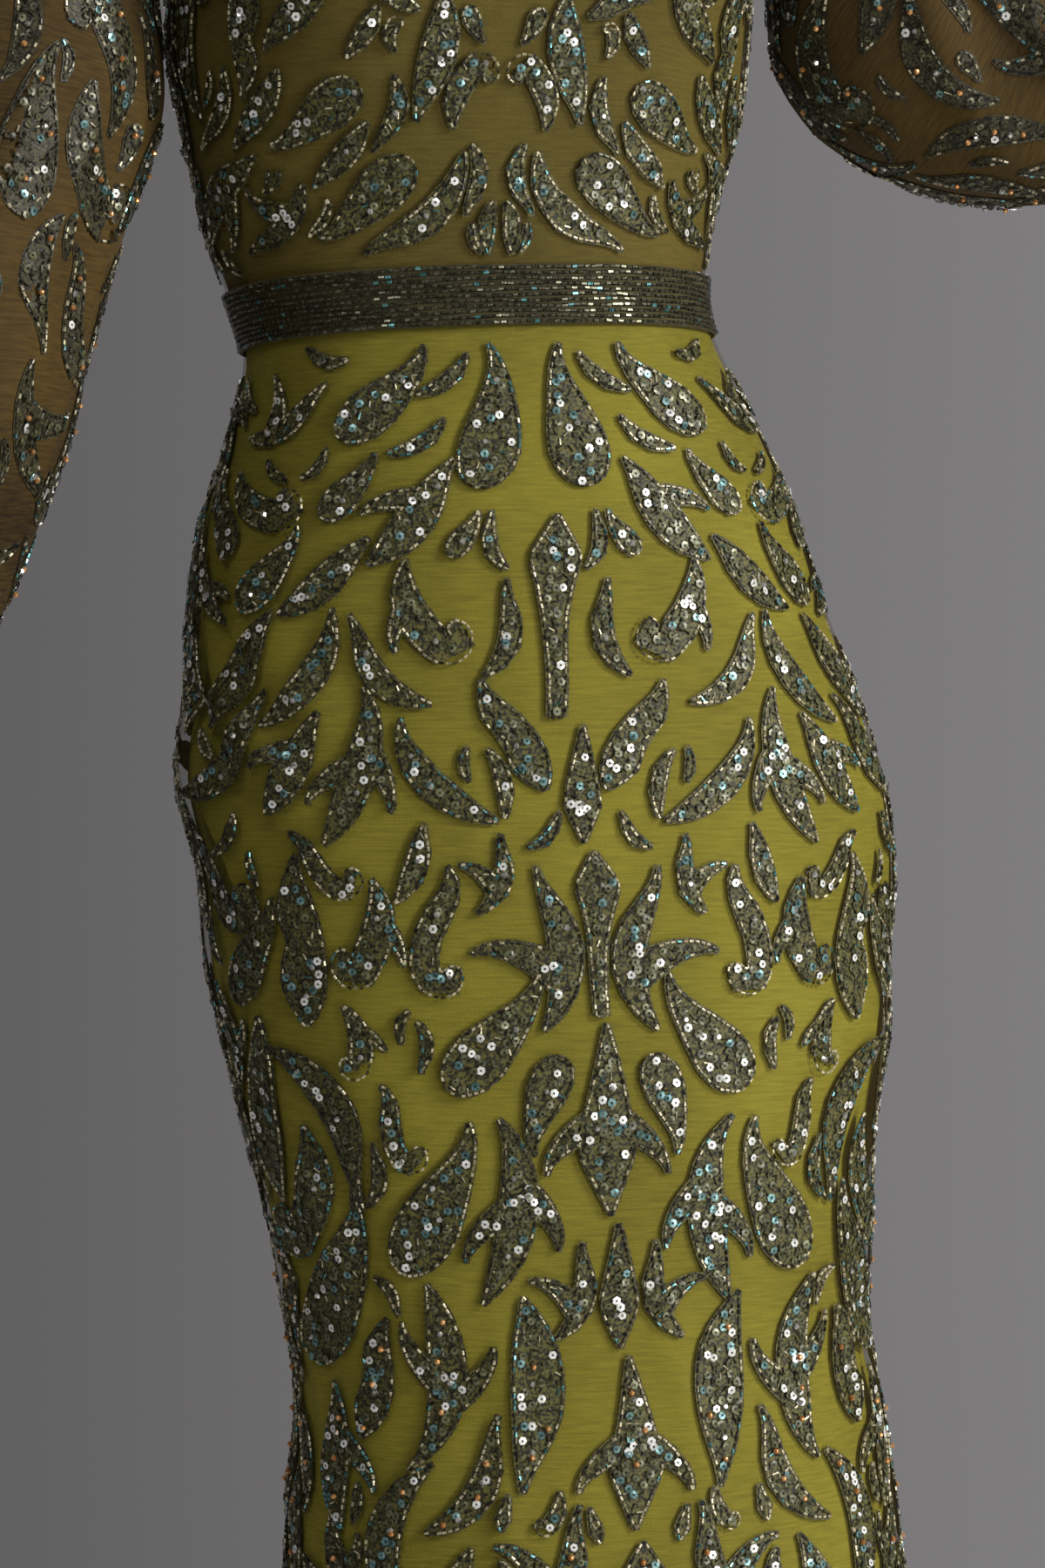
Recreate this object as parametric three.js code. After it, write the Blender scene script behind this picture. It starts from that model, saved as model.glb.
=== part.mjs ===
// Evening gown, as worn: fitted bodice with set-in bishop sleeves, beaded belt and a long skirt that flares below the knee.
// Millimetres, +Z up, front towards -Y, wearer's left towards +X.
// The origin is midway between the two neck points of the shoulder seams, where the wearer carries the gown.
import * as THREE from "three";

// Driving sizes
const waistDrop = 410; // neck point down to the waist seam
const skirtLength = 1130; // waist seam down to the hem
const bodyWall = 2.4; // beaded net mounted on its lining
const netWall = 1.2; // beaded net alone, in the sleeves
const seamGap = 0.3; // between two pieces that are sewn together
const squareness = 0.035; // how far the body rings swell towards their corners

// Bodice above the bust line, where the rings close over the shoulders
const bustRise = 165; // bust line above the waist seam
const shoulderHalf = 182; // centre to shoulder tip
const neckHalf = 72; // centre to neck point
const shoulderFall = 45; // neck point down to shoulder tip
const underarmLift = 12; // degrees of the closing arc below the underarm point
const armholeScoop = 38; // degrees that the armhole is cut in from the side
const frontNeckLift = 39; // degrees of the arc at the bottom of the front neckline
const backNeckLift = 72;

// Belt: rows of bugle beads sewn side by side on a band
const beltHeight = 29;
const beltRows = 9;
const beltWall = 1.6;
const beadRelief = 1.2;

// Zip in the centre back seam
const zipEnd = -190; // lowest tooth, above the waist seam
const zipHalfSlot = 2; // half the slot between the two back pieces
const zipHalfWidth = 1.6;
const zipWall = 1.5;

// Edges
const bindingHeight = 7;
const bindingWall = 1.6;
const cuffLength = 58;
const cuffWall = 2;

// Mesh steps
const neckColumns = 5;
const shoulderColumns = 3;
const armholeColumns = 8;
const quarterColumns = neckColumns + shoulderColumns + armholeColumns;
const bodiceRows = 5;
const yokeRows = 6;
const skirtColumns = 56;
const beltColumns = 48;
const sleeveRows = 17;

const degrees = Math.PI / 180;
const right = 90 * degrees;

// One row for each level of the body: rise above the waist seam, half width, depth to the front and to the back,
// sway of the ring's centre towards the wearer's left, and the ring's slope along X.
const levels = [
  { rise: 165, half: 144, front: 114, back: 92, sway: -2, slope: 0 },
  { rise: 128, half: 143, front: 110, back: 89, sway: -2, slope: 0.01 },
  { rise: 91, half: 138, front: 103, back: 85, sway: -1, slope: 0.02 },
  { rise: 48, half: 127, front: 92, back: 80, sway: -1, slope: 0.04 },
  { rise: 5, half: 117, front: 85, back: 76, sway: 4, slope: 0.047 },
  { rise: -16, half: 117, front: 86, back: 79, sway: 9, slope: 0.047 },
  { rise: -59, half: 132, front: 94, back: 93, sway: 16, slope: 0.04 },
  { rise: -101, half: 148, front: 100, back: 106, sway: 19, slope: 0.03 },
  { rise: -145, half: 158, front: 103, back: 115, sway: 23, slope: 0.02 },
  { rise: -187, half: 168, front: 104, back: 121, sway: 31, slope: 0.01 },
  { rise: -231, half: 177, front: 105, back: 121, sway: 37, slope: 0 },
  { rise: -274, half: 174, front: 105, back: 116, sway: 44, slope: 0 },
  { rise: -317, half: 171, front: 104, back: 108, sway: 45, slope: 0 },
  { rise: -361, half: 166, front: 102, back: 100, sway: 49, slope: 0 },
  { rise: -405, half: 157, front: 99, back: 93, sway: 51, slope: 0 },
  { rise: -448, half: 151, front: 96, back: 89, sway: 56, slope: 0 },
  { rise: -492, half: 146, front: 94, back: 87, sway: 59, slope: 0 },
  { rise: -535, half: 147, front: 95, back: 89, sway: 65, slope: 0 },
  { rise: -579, half: 152, front: 99, back: 95, sway: 66, slope: 0 },
  { rise: -622, half: 156, front: 106, back: 104, sway: 68, slope: 0 },
  { rise: -700, half: 178, front: 131, back: 132, sway: 70, slope: 0 },
  { rise: -800, half: 218, front: 172, back: 178, sway: 72, slope: 0 },
  { rise: -920, half: 265, front: 220, back: 238, sway: 73, slope: 0 },
  { rise: -1030, half: 300, front: 258, back: 285, sway: 73, slope: 0 },
  { rise: -1130, half: 326, front: 286, back: 318, sway: 73, slope: 0 },
];

// Bust shaping from the cups and darts, and the seat: soft swellings on the body rings.
const swellings = [
  { angle: 33, rise: 160, wide: 24, tall: 46, height: 17 },
  { angle: -33, rise: 160, wide: 24, tall: 46, height: 17 },
];

// Drag folds over the hips: a ridge from one point to another, each given by its angle round the body and its rise.
const dragFolds = [
  { angle: -74, rise: -92, toAngle: -38, toRise: -206, wide: 13, height: 2.6 },
  { angle: -82, rise: -128, toAngle: -44, toRise: -262, wide: 13, height: 2.8 },
  { angle: -84, rise: -176, toAngle: -52, toRise: -330, wide: 14, height: 2.4 },
  { angle: 80, rise: -120, toAngle: 50, toRise: -214, wide: 13, height: 1.8 },
  { angle: 128, rise: -96, toAngle: 152, toRise: -196, wide: 14, height: 2.2 },
  { angle: -128, rise: -96, toAngle: -152, toRise: -196, wide: 14, height: 2.2 },
];

// Flutes of the flared hem
const fluteCount = 7;
const fluteStart = -640; // rise where the flutes begin
const fluteHeight = 17; // half the depth of a flute at the hem

// Sleeve rings, from the armhole to the cuff seam. Under and top are the ring's two ends in the front view, measured
// out from the centre and up from the neck point; front and back are its depths, and ahead moves it forwards.
const hangingSleeve = [
  { underOut: 158, underUp: -199, topOut: 199, topUp: -58, front: 56, back: 54, ahead: 0 },
  { underOut: 157, underUp: -214, topOut: 232, topUp: -104, front: 66, back: 62, ahead: 0 },
  { underOut: 154, underUp: -240, topOut: 266, topUp: -168, front: 74, back: 70, ahead: 2 },
  { underOut: 151, underUp: -276, topOut: 298, topUp: -232, front: 80, back: 76, ahead: 4 },
  { underOut: 150, underUp: -318, topOut: 328, topUp: -292, front: 84, back: 80, ahead: 6 },
  { underOut: 165, underUp: -368, topOut: 355, topUp: -352, front: 88, back: 84, ahead: 9 },
  { underOut: 182, underUp: -424, topOut: 379, topUp: -418, front: 90, back: 86, ahead: 12 },
  { underOut: 196, underUp: -478, topOut: 398, topUp: -486, front: 90, back: 86, ahead: 15 },
  { underOut: 216, underUp: -532, topOut: 411, topUp: -550, front: 86, back: 82, ahead: 18 },
  { underOut: 238, underUp: -580, topOut: 417, topUp: -606, front: 77, back: 74, ahead: 21 },
  { underOut: 266, underUp: -616, topOut: 413, topUp: -646, front: 62, back: 60, ahead: 23 },
  { underOut: 291, underUp: -645, topOut: 398, topUp: -656, front: 46, back: 45, ahead: 24 },
  { underOut: 308, underUp: -665, topOut: 375, topUp: -652, front: 34, back: 34, ahead: 24 },
];
const raisedSleeve = [
  { underOut: 158, underUp: -204, topOut: 199, topUp: -58, front: 56, back: 54, ahead: 0 },
  { underOut: 161, underUp: -240, topOut: 224, topUp: -84, front: 62, back: 58, ahead: 0 },
  { underOut: 163, underUp: -276, topOut: 250, topUp: -108, front: 66, back: 62, ahead: 0 },
  { underOut: 184, underUp: -309, topOut: 276, topUp: -130, front: 70, back: 66, ahead: 2 },
  { underOut: 222, underUp: -332, topOut: 302, topUp: -149, front: 72, back: 68, ahead: 4 },
  { underOut: 268, underUp: -344, topOut: 327, topUp: -164, front: 73, back: 69, ahead: 8 },
  { underOut: 320, underUp: -340, topOut: 350, topUp: -174, front: 73, back: 69, ahead: 14 },
  { underOut: 372, underUp: -318, topOut: 370, topUp: -177, front: 72, back: 68, ahead: 22 },
  { underOut: 420, underUp: -281, topOut: 387, topUp: -171, front: 70, back: 66, ahead: 32 },
  { underOut: 456, underUp: -240, topOut: 400, topUp: -157, front: 66, back: 62, ahead: 44 },
  { underOut: 478, underUp: -184, topOut: 409, topUp: -138, front: 60, back: 56, ahead: 56 },
  { underOut: 486, underUp: -130, topOut: 413, topUp: -116, front: 50, back: 47, ahead: 66 },
  { underOut: 482, underUp: -92, topOut: 416, topUp: -92, front: 36, back: 35, ahead: 73 },
];

// Soft sleeve folds: a ridge from one place to another. Turn is degrees round the sleeve from its top over the front,
// along is the share of its length.
const hangingFolds = [
  { turn: 40, along: 0.1, toTurn: 62, toAlong: 0.5, wide: 15, height: 3.5 },
  { turn: 78, along: 0.42, toTurn: 92, toAlong: 0.9, wide: 14, height: 4 },
  { turn: 128, along: 0.3, toTurn: 122, toAlong: 0.86, wide: 14, height: 3.5 },
  { turn: 244, along: 0.3, toTurn: 252, toAlong: 0.86, wide: 15, height: 4 },
  { turn: 300, along: 0.12, toTurn: 288, toAlong: 0.8, wide: 15, height: 4 },
];
const raisedFolds = [
  { turn: 28, along: 0.1, toTurn: 118, toAlong: 0.58, wide: 13, height: 7 },
  { turn: 18, along: 0.3, toTurn: 92, toAlong: 0.74, wide: 12, height: 7 },
  { turn: 64, along: 0.08, toTurn: 150, toAlong: 0.42, wide: 12, height: 5 },
  { turn: 30, along: 0.56, toTurn: 74, toAlong: 0.92, wide: 13, height: 5 },
  { turn: 330, along: 0.12, toTurn: 240, toAlong: 0.56, wide: 14, height: 6 },
  { turn: 336, along: 0.4, toTurn: 268, toAlong: 0.8, wide: 13, height: 6 },
];
const headGathers = 12; // gathers round the whole armhole
const cuffGathers = 8; // gathers round the cuff, four columns of the mesh to each
const gatherHeight = 2.6;

// Smooth value of one column of a table whose rows are ordered by another
function smooth(rows, key, column, at) {
  const down = rows[0][key] > rows[rows.length - 1][key];
  const order = down ? -1 : 1;
  let i = 0;
  while (i < rows.length - 2 && order * at > order * rows[i + 1][key]) i++;
  const slope = (k) => {
    const a = rows[Math.max(k - 1, 0)];
    const b = rows[Math.min(k + 1, rows.length - 1)];
    return (b[column] - a[column]) / (b[key] - a[key]);
  };
  const step = rows[i + 1][key] - rows[i][key];
  const t = THREE.MathUtils.clamp((at - rows[i][key]) / step, 0, 1);
  const t2 = t * t;
  const t3 = t2 * t;
  return (
    rows[i][column] * (2 * t3 - 3 * t2 + 1) +
    rows[i + 1][column] * (3 * t2 - 2 * t3) +
    slope(i) * step * (t3 - 2 * t2 + t) +
    slope(i + 1) * step * (t3 - t2)
  );
}

// Height of a ridge at a place, where both are given in millimetres over the cloth
function ridge(x, y, fromX, fromY, toX, toY, wide, height) {
  const dx = toX - fromX;
  const dy = toY - fromY;
  const share = THREE.MathUtils.clamp(((x - fromX) * dx + (y - fromY) * dy) / (dx * dx + dy * dy), 0, 1);
  const off = Math.hypot(x - fromX - share * dx, y - fromY - share * dy);
  return height * Math.exp(-((off / wide) ** 2)) * (0.35 + 0.65 * Math.sin(Math.PI * share));
}

// How far the cloth stands out from the plain body ring
function swell(angle, rise) {
  const turn = angle / degrees;
  const arc = 2.3; // millimetres of cloth to a degree round the hips
  let out = 0;
  for (const s of swellings) {
    out += s.height * Math.exp(-(((turn - s.angle) / s.wide) ** 2) - ((rise - s.rise) / s.tall) ** 2);
  }
  for (const f of dragFolds) {
    out += ridge(turn * arc, rise, f.angle * arc, f.rise, f.toAngle * arc, f.toRise, f.wide, f.height);
  }
  if (rise < fluteStart) {
    const share = (fluteStart - rise) / (fluteStart + skirtLength);
    out += fluteHeight * share ** 1.4 * Math.cos(fluteCount * angle + 0.5 * Math.sin(2 * angle));
  }
  return out;
}

// Angle within half a turn either side of the front, so that folds given there are found
const wrapped = (angle) => Math.atan2(Math.sin(angle), Math.cos(angle));

// A point of the outer surface, from its angle round the body and its rise above the waist seam
function bodyPoint(angle, rise) {
  const turn = wrapped(angle);
  const at = (column) => smooth(levels, "rise", column, rise);
  const round = 1 + squareness * Math.sin(2 * turn) ** 2;
  const out = swell(turn, rise);
  const depth = Math.cos(turn) > 0 ? at("front") : at("back");
  const across = (at("half") + out) * Math.sin(turn) * round;
  return new THREE.Vector3(
    at("sway") + across,
    -(depth + out) * Math.cos(turn) * round,
    rise - waistDrop + at("slope") * across,
  );
}

const yokeSway = (lift) => levels[0].sway * Math.cos(lift);

// A point of the bodice above the bust line: lift is the angle of the arc that closes over the shoulder
function yokePoint(angle, lift) {
  const turn = wrapped(angle);
  const bust = levels[0];
  const round = 1 + squareness * Math.sin(2 * turn) ** 2;
  const bustUp = bustRise - waistDrop;
  const out = swell(turn, bustRise + 170 * Math.sin(lift)) * Math.cos(lift);
  const half = bust.half + (shoulderHalf - bust.half) * Math.sin(lift) ** 2;
  const isFront = Math.cos(turn) > 0;
  const closing = Math.max(Math.cos(lift), 0) ** (isFront ? 1.3 : 0.85);
  const depth = ((isFront ? bust.front : bust.back) + out) * closing;
  const across = (half + out) * Math.sin(turn) * round;
  const fall = (shoulderFall * Math.max(0, Math.abs(across) - neckHalf)) / (shoulderHalf - neckHalf);
  return new THREE.Vector3(
    yokeSway(lift) + across,
    -depth * Math.cos(turn) * round,
    bustUp + (-fall - bustUp) * Math.sin(lift),
  );
}

// Outward normal of a surface that takes two numbers
function normalOf(surface, a, b, stepA, stepB) {
  const alongA = surface(a + stepA, b).sub(surface(a - stepA, b));
  const alongB = surface(a, b + stepB).sub(surface(a, b - stepB));
  return alongA.cross(alongB).normalize();
}
const bodyNormal = (angle, rise) => normalOf(bodyPoint, angle, rise, 0.004, 0.5);
const yokeNormal = (angle, lift) => {
  const inside = Math.min(lift, right - 0.03);
  return normalOf(yokePoint, angle, inside, 0.004, 0.004);
};

// A closed solid from its points and faces, turned the right way out
function solid(points, faces) {
  let volume = 0;
  for (const [a, b, c] of faces) {
    volume += points[a].dot(new THREE.Vector3().crossVectors(points[b], points[c]));
  }
  const index = faces.flatMap(([a, b, c]) => (volume < 0 ? [a, c, b] : [a, b, c]));
  const geometry = new THREE.BufferGeometry().setFromPoints(points);
  geometry.setIndex(index);
  geometry.computeVertexNormals();
  return geometry;
}

// A wall of cloth between an outer and an inner grid of points. A ring joins its last column to its first.
function wall(outer, inner, isRing) {
  const rows = outer.length;
  const columns = outer[0].length;
  const points = [...outer.flat(), ...inner.flat()];
  const inside = rows * columns;
  const faces = [];
  const quad = (a, b, c, d) => faces.push([a, b, c], [a, c, d]);
  const at = (i, j) => i * columns + (j % columns);
  const spans = isRing ? columns : columns - 1;
  for (let i = 0; i < rows - 1; i++) {
    for (let j = 0; j < spans; j++) {
      const corners = [at(i, j), at(i, j + 1), at(i + 1, j + 1), at(i + 1, j)];
      quad(...corners);
      quad(...corners.map((k) => k + inside).reverse());
    }
  }
  const border = [];
  for (let j = 0; j < spans; j++) border.push([at(0, j + 1), at(0, j)], [at(rows - 1, j), at(rows - 1, j + 1)]);
  if (!isRing) {
    for (let i = 0; i < rows - 1; i++) {
      border.push([at(i, 0), at(i + 1, 0)], [at(i + 1, columns - 1), at(i, columns - 1)]);
    }
  }
  for (const [a, b] of border) quad(a, b, b + inside, a + inside);
  return solid(points, faces);
}

// A bar of cloth or metal through loops of the same number of points, with flat ends
function bar(loops) {
  const count = loops[0].length;
  const points = loops.flat();
  const faces = [];
  for (let i = 0; i < loops.length - 1; i++) {
    for (let j = 0; j < count; j++) {
      const next = (j + 1) % count;
      const a = i * count;
      const b = a + count;
      faces.push([a + j, a + next, b + next], [a + j, b + next, b + j]);
    }
  }
  const last = (loops.length - 1) * count;
  const middle = (loop) => loop.reduce((sum, p) => sum.add(p), new THREE.Vector3()).divideScalar(count);
  const startMiddle = points.push(middle(loops[0])) - 1;
  const endMiddle = points.push(middle(loops[loops.length - 1])) - 1;
  for (let j = 0; j < count; j++) {
    const next = (j + 1) % count;
    faces.push([next, j, startMiddle], [last + j, last + next, endMiddle]);
  }
  return solid(points, faces);
}

const moved = (point, direction, distance) => point.clone().addScaledVector(direction, distance);
const steps = (count, from, to) => Array.from({ length: count + 1 }, (_, i) => from + ((to - from) * i) / count);

// Rises of the mesh rows, shared by every piece that lies on them
const belowBelt = -beltHeight / 2 - 1;
const skirtRises = [-seamGap / 2, ...steps(8, belowBelt, zipEnd - 30), ...steps(14, zipEnd - 80, -skirtLength)];
const bodiceRises = [seamGap / 2, ...steps(bodiceRows - 1, beltHeight / 2 + 1, bustRise)];

// Half the slot at the centre back: open along the zip, a plain seam below it
const slotAt = (rise) => (rise >= zipEnd ? zipHalfSlot : seamGap / 2);

// Keeps a point on its own side of the side seams, which lie in the plane Y = 0, and of the centre back seam
function kept(point, piece, slot, middle) {
  if (piece === "front") point.y = Math.min(point.y, -seamGap / 2);
  else point.y = Math.max(point.y, seamGap / 2);
  if (piece === "backLeft") point.x = Math.max(point.x, middle + slot);
  if (piece === "backRight") point.x = Math.min(point.x, middle - slot);
  return point;
}

// Where each piece begins and ends round the body
const spans = {
  front: [-right, right],
  backLeft: [right, 2 * right],
  backRight: [2 * right, 3 * right],
};

function skirtPiece(piece) {
  const columns = piece === "front" ? skirtColumns / 2 : skirtColumns / 4;
  const outer = [];
  const inner = [];
  for (const rise of skirtRises) {
    const middle = smooth(levels, "rise", "sway", rise);
    const keep = (point) => kept(point, piece, slotAt(rise), middle);
    const angles = steps(columns, ...spans[piece]);
    outer.push(angles.map((angle) => keep(bodyPoint(angle, rise))));
    inner.push(angles.map((angle) => keep(moved(bodyPoint(angle, rise), bodyNormal(angle, rise), -bodyWall))));
  }
  return wall(outer, inner, false);
}

// The armhole's cut: the largest angle from the front, or from the back, at a lift
function sideLimit(lift) {
  const start = underarmLift * degrees;
  if (lift <= start) return right;
  const share = (lift - start) / (right - start);
  return right - armholeScoop * degrees * Math.sin(Math.PI * share) ** 0.8;
}

// Columns of half a bodice piece run up to the neckline first, then to the shoulder seam and to the armhole.
const shoulderColumn = neckColumns + shoulderColumns;
const shoulderLift = right * 0.998;

// The lift where a column ends
function topLift(column, neckLift) {
  const low = neckLift * degrees;
  if (column <= neckColumns) {
    return low + (shoulderLift - low) * (1 - Math.sqrt(1 - (column / neckColumns) ** 2));
  }
  const share = Math.max(0, column - shoulderColumn) / armholeColumns;
  return shoulderLift + (underarmLift * degrees - shoulderLift) * share;
}

// The angle of a column at a share of its own height above the bust line
function columnAngle(column, share, lift) {
  const limit = sideLimit(lift);
  const neckAngle = Math.asin(neckHalf / shoulderHalf);
  const pastNeck = THREE.MathUtils.clamp((column - neckColumns) / shoulderColumns, 0, 1);
  const goal = Math.min(column / neckColumns, 1) * neckAngle + (limit - neckAngle) * pastNeck;
  return THREE.MathUtils.lerp((column / quarterColumns) * limit, goal, share);
}

// One column of half a bodice piece, from the waist seam to its top edge. Side is 1 on the wearer's left.
function bodiceColumn(piece, column, side) {
  const isBack = piece !== "front";
  const top = topLift(column, isBack ? backNeckLift : frontNeckLift);
  const turned = (angle) => (isBack ? 2 * right - side * angle : side * angle);
  const outer = [];
  const inner = [];
  const add = (point, normal, middle) => {
    outer.push(kept(point.clone(), piece, zipHalfSlot, middle));
    inner.push(kept(moved(point, normal, -bodyWall), piece, zipHalfSlot, middle));
  };
  for (const rise of bodiceRises) {
    const angle = turned((column / quarterColumns) * right);
    add(bodyPoint(angle, rise), bodyNormal(angle, rise), smooth(levels, "rise", "sway", rise));
  }
  for (const t of steps(yokeRows, 0, 1).slice(1)) {
    const lift = top * t;
    const angle = turned(columnAngle(column, t, lift));
    add(yokePoint(angle, lift), yokeNormal(angle, lift), yokeSway(lift));
  }
  return { outer, inner };
}

function bodicePiece(piece) {
  const columns = steps(quarterColumns, 0, quarterColumns);
  const order = {
    front: [...columns.slice(1).reverse().map((c) => [c, -1]), ...columns.map((c) => [c, 1])],
    backLeft: columns.map((c) => [c, 1]),
    backRight: columns.map((c) => [c, -1]),
  }[piece];
  const made = order.map(([column, side]) => bodiceColumn(piece, column, side));
  return wall(
    made.map((m) => m.outer),
    made.map((m) => m.inner),
    false,
  );
}

// The armhole's edge as points of the bodice, from the shoulder tip over the front to the underarm and up the back
function armholeEdge(side) {
  const corner = (column, isBack) => {
    const lift = topLift(column, frontNeckLift);
    const limit = sideLimit(lift);
    const angle = isBack ? 2 * right - side * limit : side * limit;
    const inward = isBack ? 2 * right - side * limit * 0.96 : side * limit * 0.96;
    const p = yokePoint(angle, lift);
    const isLow = column === quarterColumns;
    const near = isLow ? yokePoint(angle, lift - 0.03) : yokePoint(inward, lift);
    return { p, away: p.clone().sub(near).normalize() };
  };
  const frontColumns = steps(armholeColumns, shoulderColumn, quarterColumns);
  const around = [
    ...frontColumns.map((c) => corner(c, false)),
    ...frontColumns.slice(1, -1).reverse().map((c) => corner(c, true)),
  ];
  const edge = [];
  around.forEach((here, i) => {
    const next = around[(i + 1) % around.length];
    const between = (key) => here[key].clone().add(next[key]).multiplyScalar(0.5);
    edge.push(here, { p: between("p"), away: between("away").normalize() });
  });
  return edge;
}

// A point of a sleeve: turn goes round from its top over the front, along runs from the armhole to the cuff seam
function sleevePoint(rings, folds, side, turn, along) {
  const rows = rings.map((r, i) => ({ ...r, along: i / (rings.length - 1) }));
  const at = (column) => smooth(rows, "along", column, along);
  const underOut = at("underOut");
  const underUp = at("underUp");
  const topOut = at("topOut");
  const topUp = at("topUp");
  const height = Math.hypot(topOut - underOut, topUp - underUp) / 2;
  const depth = Math.sin(turn) > 0 ? at("front") : at("back");
  const length = 560;
  const girth = 1.45; // millimetres of cloth to a degree round the sleeve
  const spot = ((((turn / degrees) % 360) + 360) % 360) * girth;
  let out = 0;
  for (const f of folds) {
    out += ridge(spot, along * length, f.turn * girth, f.along * length, f.toTurn * girth, f.toAlong * length, f.wide, f.height);
  }
  out += gatherHeight * Math.cos(cuffGathers * turn) * THREE.MathUtils.smoothstep(along, 0.72, 0.92);
  out += 0.6 * gatherHeight * Math.cos(headGathers * turn) * (1 - THREE.MathUtils.smoothstep(along, 0.04, 0.22));
  const fade = THREE.MathUtils.smoothstep(along, 0, 0.08);
  const reach = (height + out * fade) * Math.cos(turn);
  const outward = (topOut - underOut) / (2 * height);
  const upward = (topUp - underUp) / (2 * height);
  return new THREE.Vector3(
    side * ((topOut + underOut) / 2 + outward * reach),
    -at("ahead") - (depth + out * fade) * Math.sin(turn),
    (topUp + underUp) / 2 + upward * reach,
  );
}

// The sleeve's rings: the first lies along the armhole, the next ones leave it for the sleeve's own form
function sleeveRings(rings, folds, side) {
  const edge = armholeEdge(side);
  const surface = (turn, along) => sleevePoint(rings, folds, side, turn, along);
  const inwards = (turn, along) => {
    const inside = THREE.MathUtils.clamp(along, 0.01, 0.99);
    return normalOf(surface, turn, inside, 0.02, 0.005).multiplyScalar(-side);
  };
  const turns = edge.map((_, j) => (2 * Math.PI * j) / edge.length);
  const outer = [edge.map((e) => moved(e.p, e.away, seamGap + 0.1))];
  const inner = [outer[0].map((p, j) => moved(p, inwards(turns[j], 0), netWall))];
  for (const along of steps(sleeveRows, 0, 1)) {
    const row = turns.map((turn) => surface(turn, along));
    outer.push(row);
    inner.push(row.map((p, j) => moved(p, inwards(turns[j], along), netWall)));
  }
  // The last ring keeps to its own plane, so that it stays clear of the cuff.
  const last = outer[sleeveRows + 1];
  const middle = last.reduce((sum, p) => sum.add(p), new THREE.Vector3()).divideScalar(last.length);
  inner[sleeveRows + 1] = last.map((p) => moved(p, middle.clone().sub(p).normalize(), netWall));
  return { outer, inner };
}

function cuff(rings, folds, side) {
  const last = rings[rings.length - 1];
  const before = rings[rings.length - 2];
  const centre = (r) => new THREE.Vector3(side * (r.topOut + r.underOut) / 2, -r.ahead, (r.topUp + r.underUp) / 2);
  const across = new THREE.Vector3(side * (last.topOut - last.underOut), 0, last.topUp - last.underUp).normalize();
  const along = new THREE.Vector3().crossVectors(across, new THREE.Vector3(0, 1, 0));
  if (along.dot(centre(last).sub(centre(before))) < 0) along.negate();
  const radius = Math.hypot(last.topOut - last.underOut, last.topUp - last.underUp) / 2;
  const depth = (last.front + last.back) / 2;
  const ring = (distance, inset) =>
    steps(23, 0, 23).map((k) => {
      const turn = (k / 24) * 2 * Math.PI;
      return centre(last)
        .addScaledVector(along, distance)
        .addScaledVector(across, (radius - inset) * Math.cos(turn))
        .add(new THREE.Vector3(0, -(depth - inset) * Math.sin(turn), 0));
    });
  const rows = steps(3, seamGap + 0.1, cuffLength);
  const taper = (d) => 2.4 * (1 - d / cuffLength) + 1;
  return wall(
    rows.map((d) => ring(d, 3.4 - taper(d))),
    rows.map((d) => ring(d, 3.4 - taper(d) + cuffWall)),
    true,
  );
}

// The belt: a ribbed band round the waist, open at the centre back
function belt() {
  const loops = steps(beltColumns, -2 * right + 0.004, 2 * right - 0.004).map((angle) => {
    const loop = [];
    const place = (rise, out) => {
      const p = bodyPoint(angle, rise);
      loop.push(moved(p, bodyNormal(angle, rise), out));
    };
    const low = -beltHeight / 2;
    const pitch = beltHeight / beltRows;
    const base = seamGap + 0.3 + beltWall;
    place(-low, seamGap + 0.3);
    place(low, seamGap + 0.3);
    for (const k of steps(beltRows - 1, 0, beltRows - 1)) {
      place(low + pitch * k, base);
      place(low + pitch * (k + 0.5), base + beadRelief);
    }
    place(-low, base);
    return loop;
  });
  return bar(loops);
}

// The neck binding: a narrow band that stands beyond the neckline, from one edge of the zip round to the other
function neckBinding() {
  const edge = [];
  const add = (column, side, isBack) => {
    const top = topLift(column, isBack ? backNeckLift : frontNeckLift);
    const angle = columnAngle(column, 1, top);
    const turned = isBack ? 2 * right - side * angle : side * angle;
    const p = yokePoint(turned, top);
    if (isBack && column === 0) p.x = yokeSway(top) + side * zipHalfSlot;
    edge.push({ p, normal: yokeNormal(turned, top) });
  };
  for (let c = 0; c < neckColumns; c++) add(c, -1, true);
  for (let c = neckColumns; c > 0; c--) add(c, -1, false);
  for (let c = 0; c < neckColumns; c++) add(c, 1, false);
  for (let c = neckColumns; c >= 0; c--) add(c, 1, true);
  return bar(edge.map(({ p, normal }, i) => {
    const before = edge[Math.max(i - 1, 0)].p;
    const after = edge[Math.min(i + 1, edge.length - 1)].p;
    const away = after.clone().sub(before).cross(normal).normalize();
    if (away.dot(new THREE.Vector3(-p.x, -10 - p.y, 0)) < 0) away.negate();
    const foot = moved(p, away, seamGap + 0.1);
    const head = moved(foot, away, bindingHeight);
    return [moved(foot, normal, -bindingWall), foot, head, moved(head, normal, -bindingWall)];
  }));
}

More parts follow.
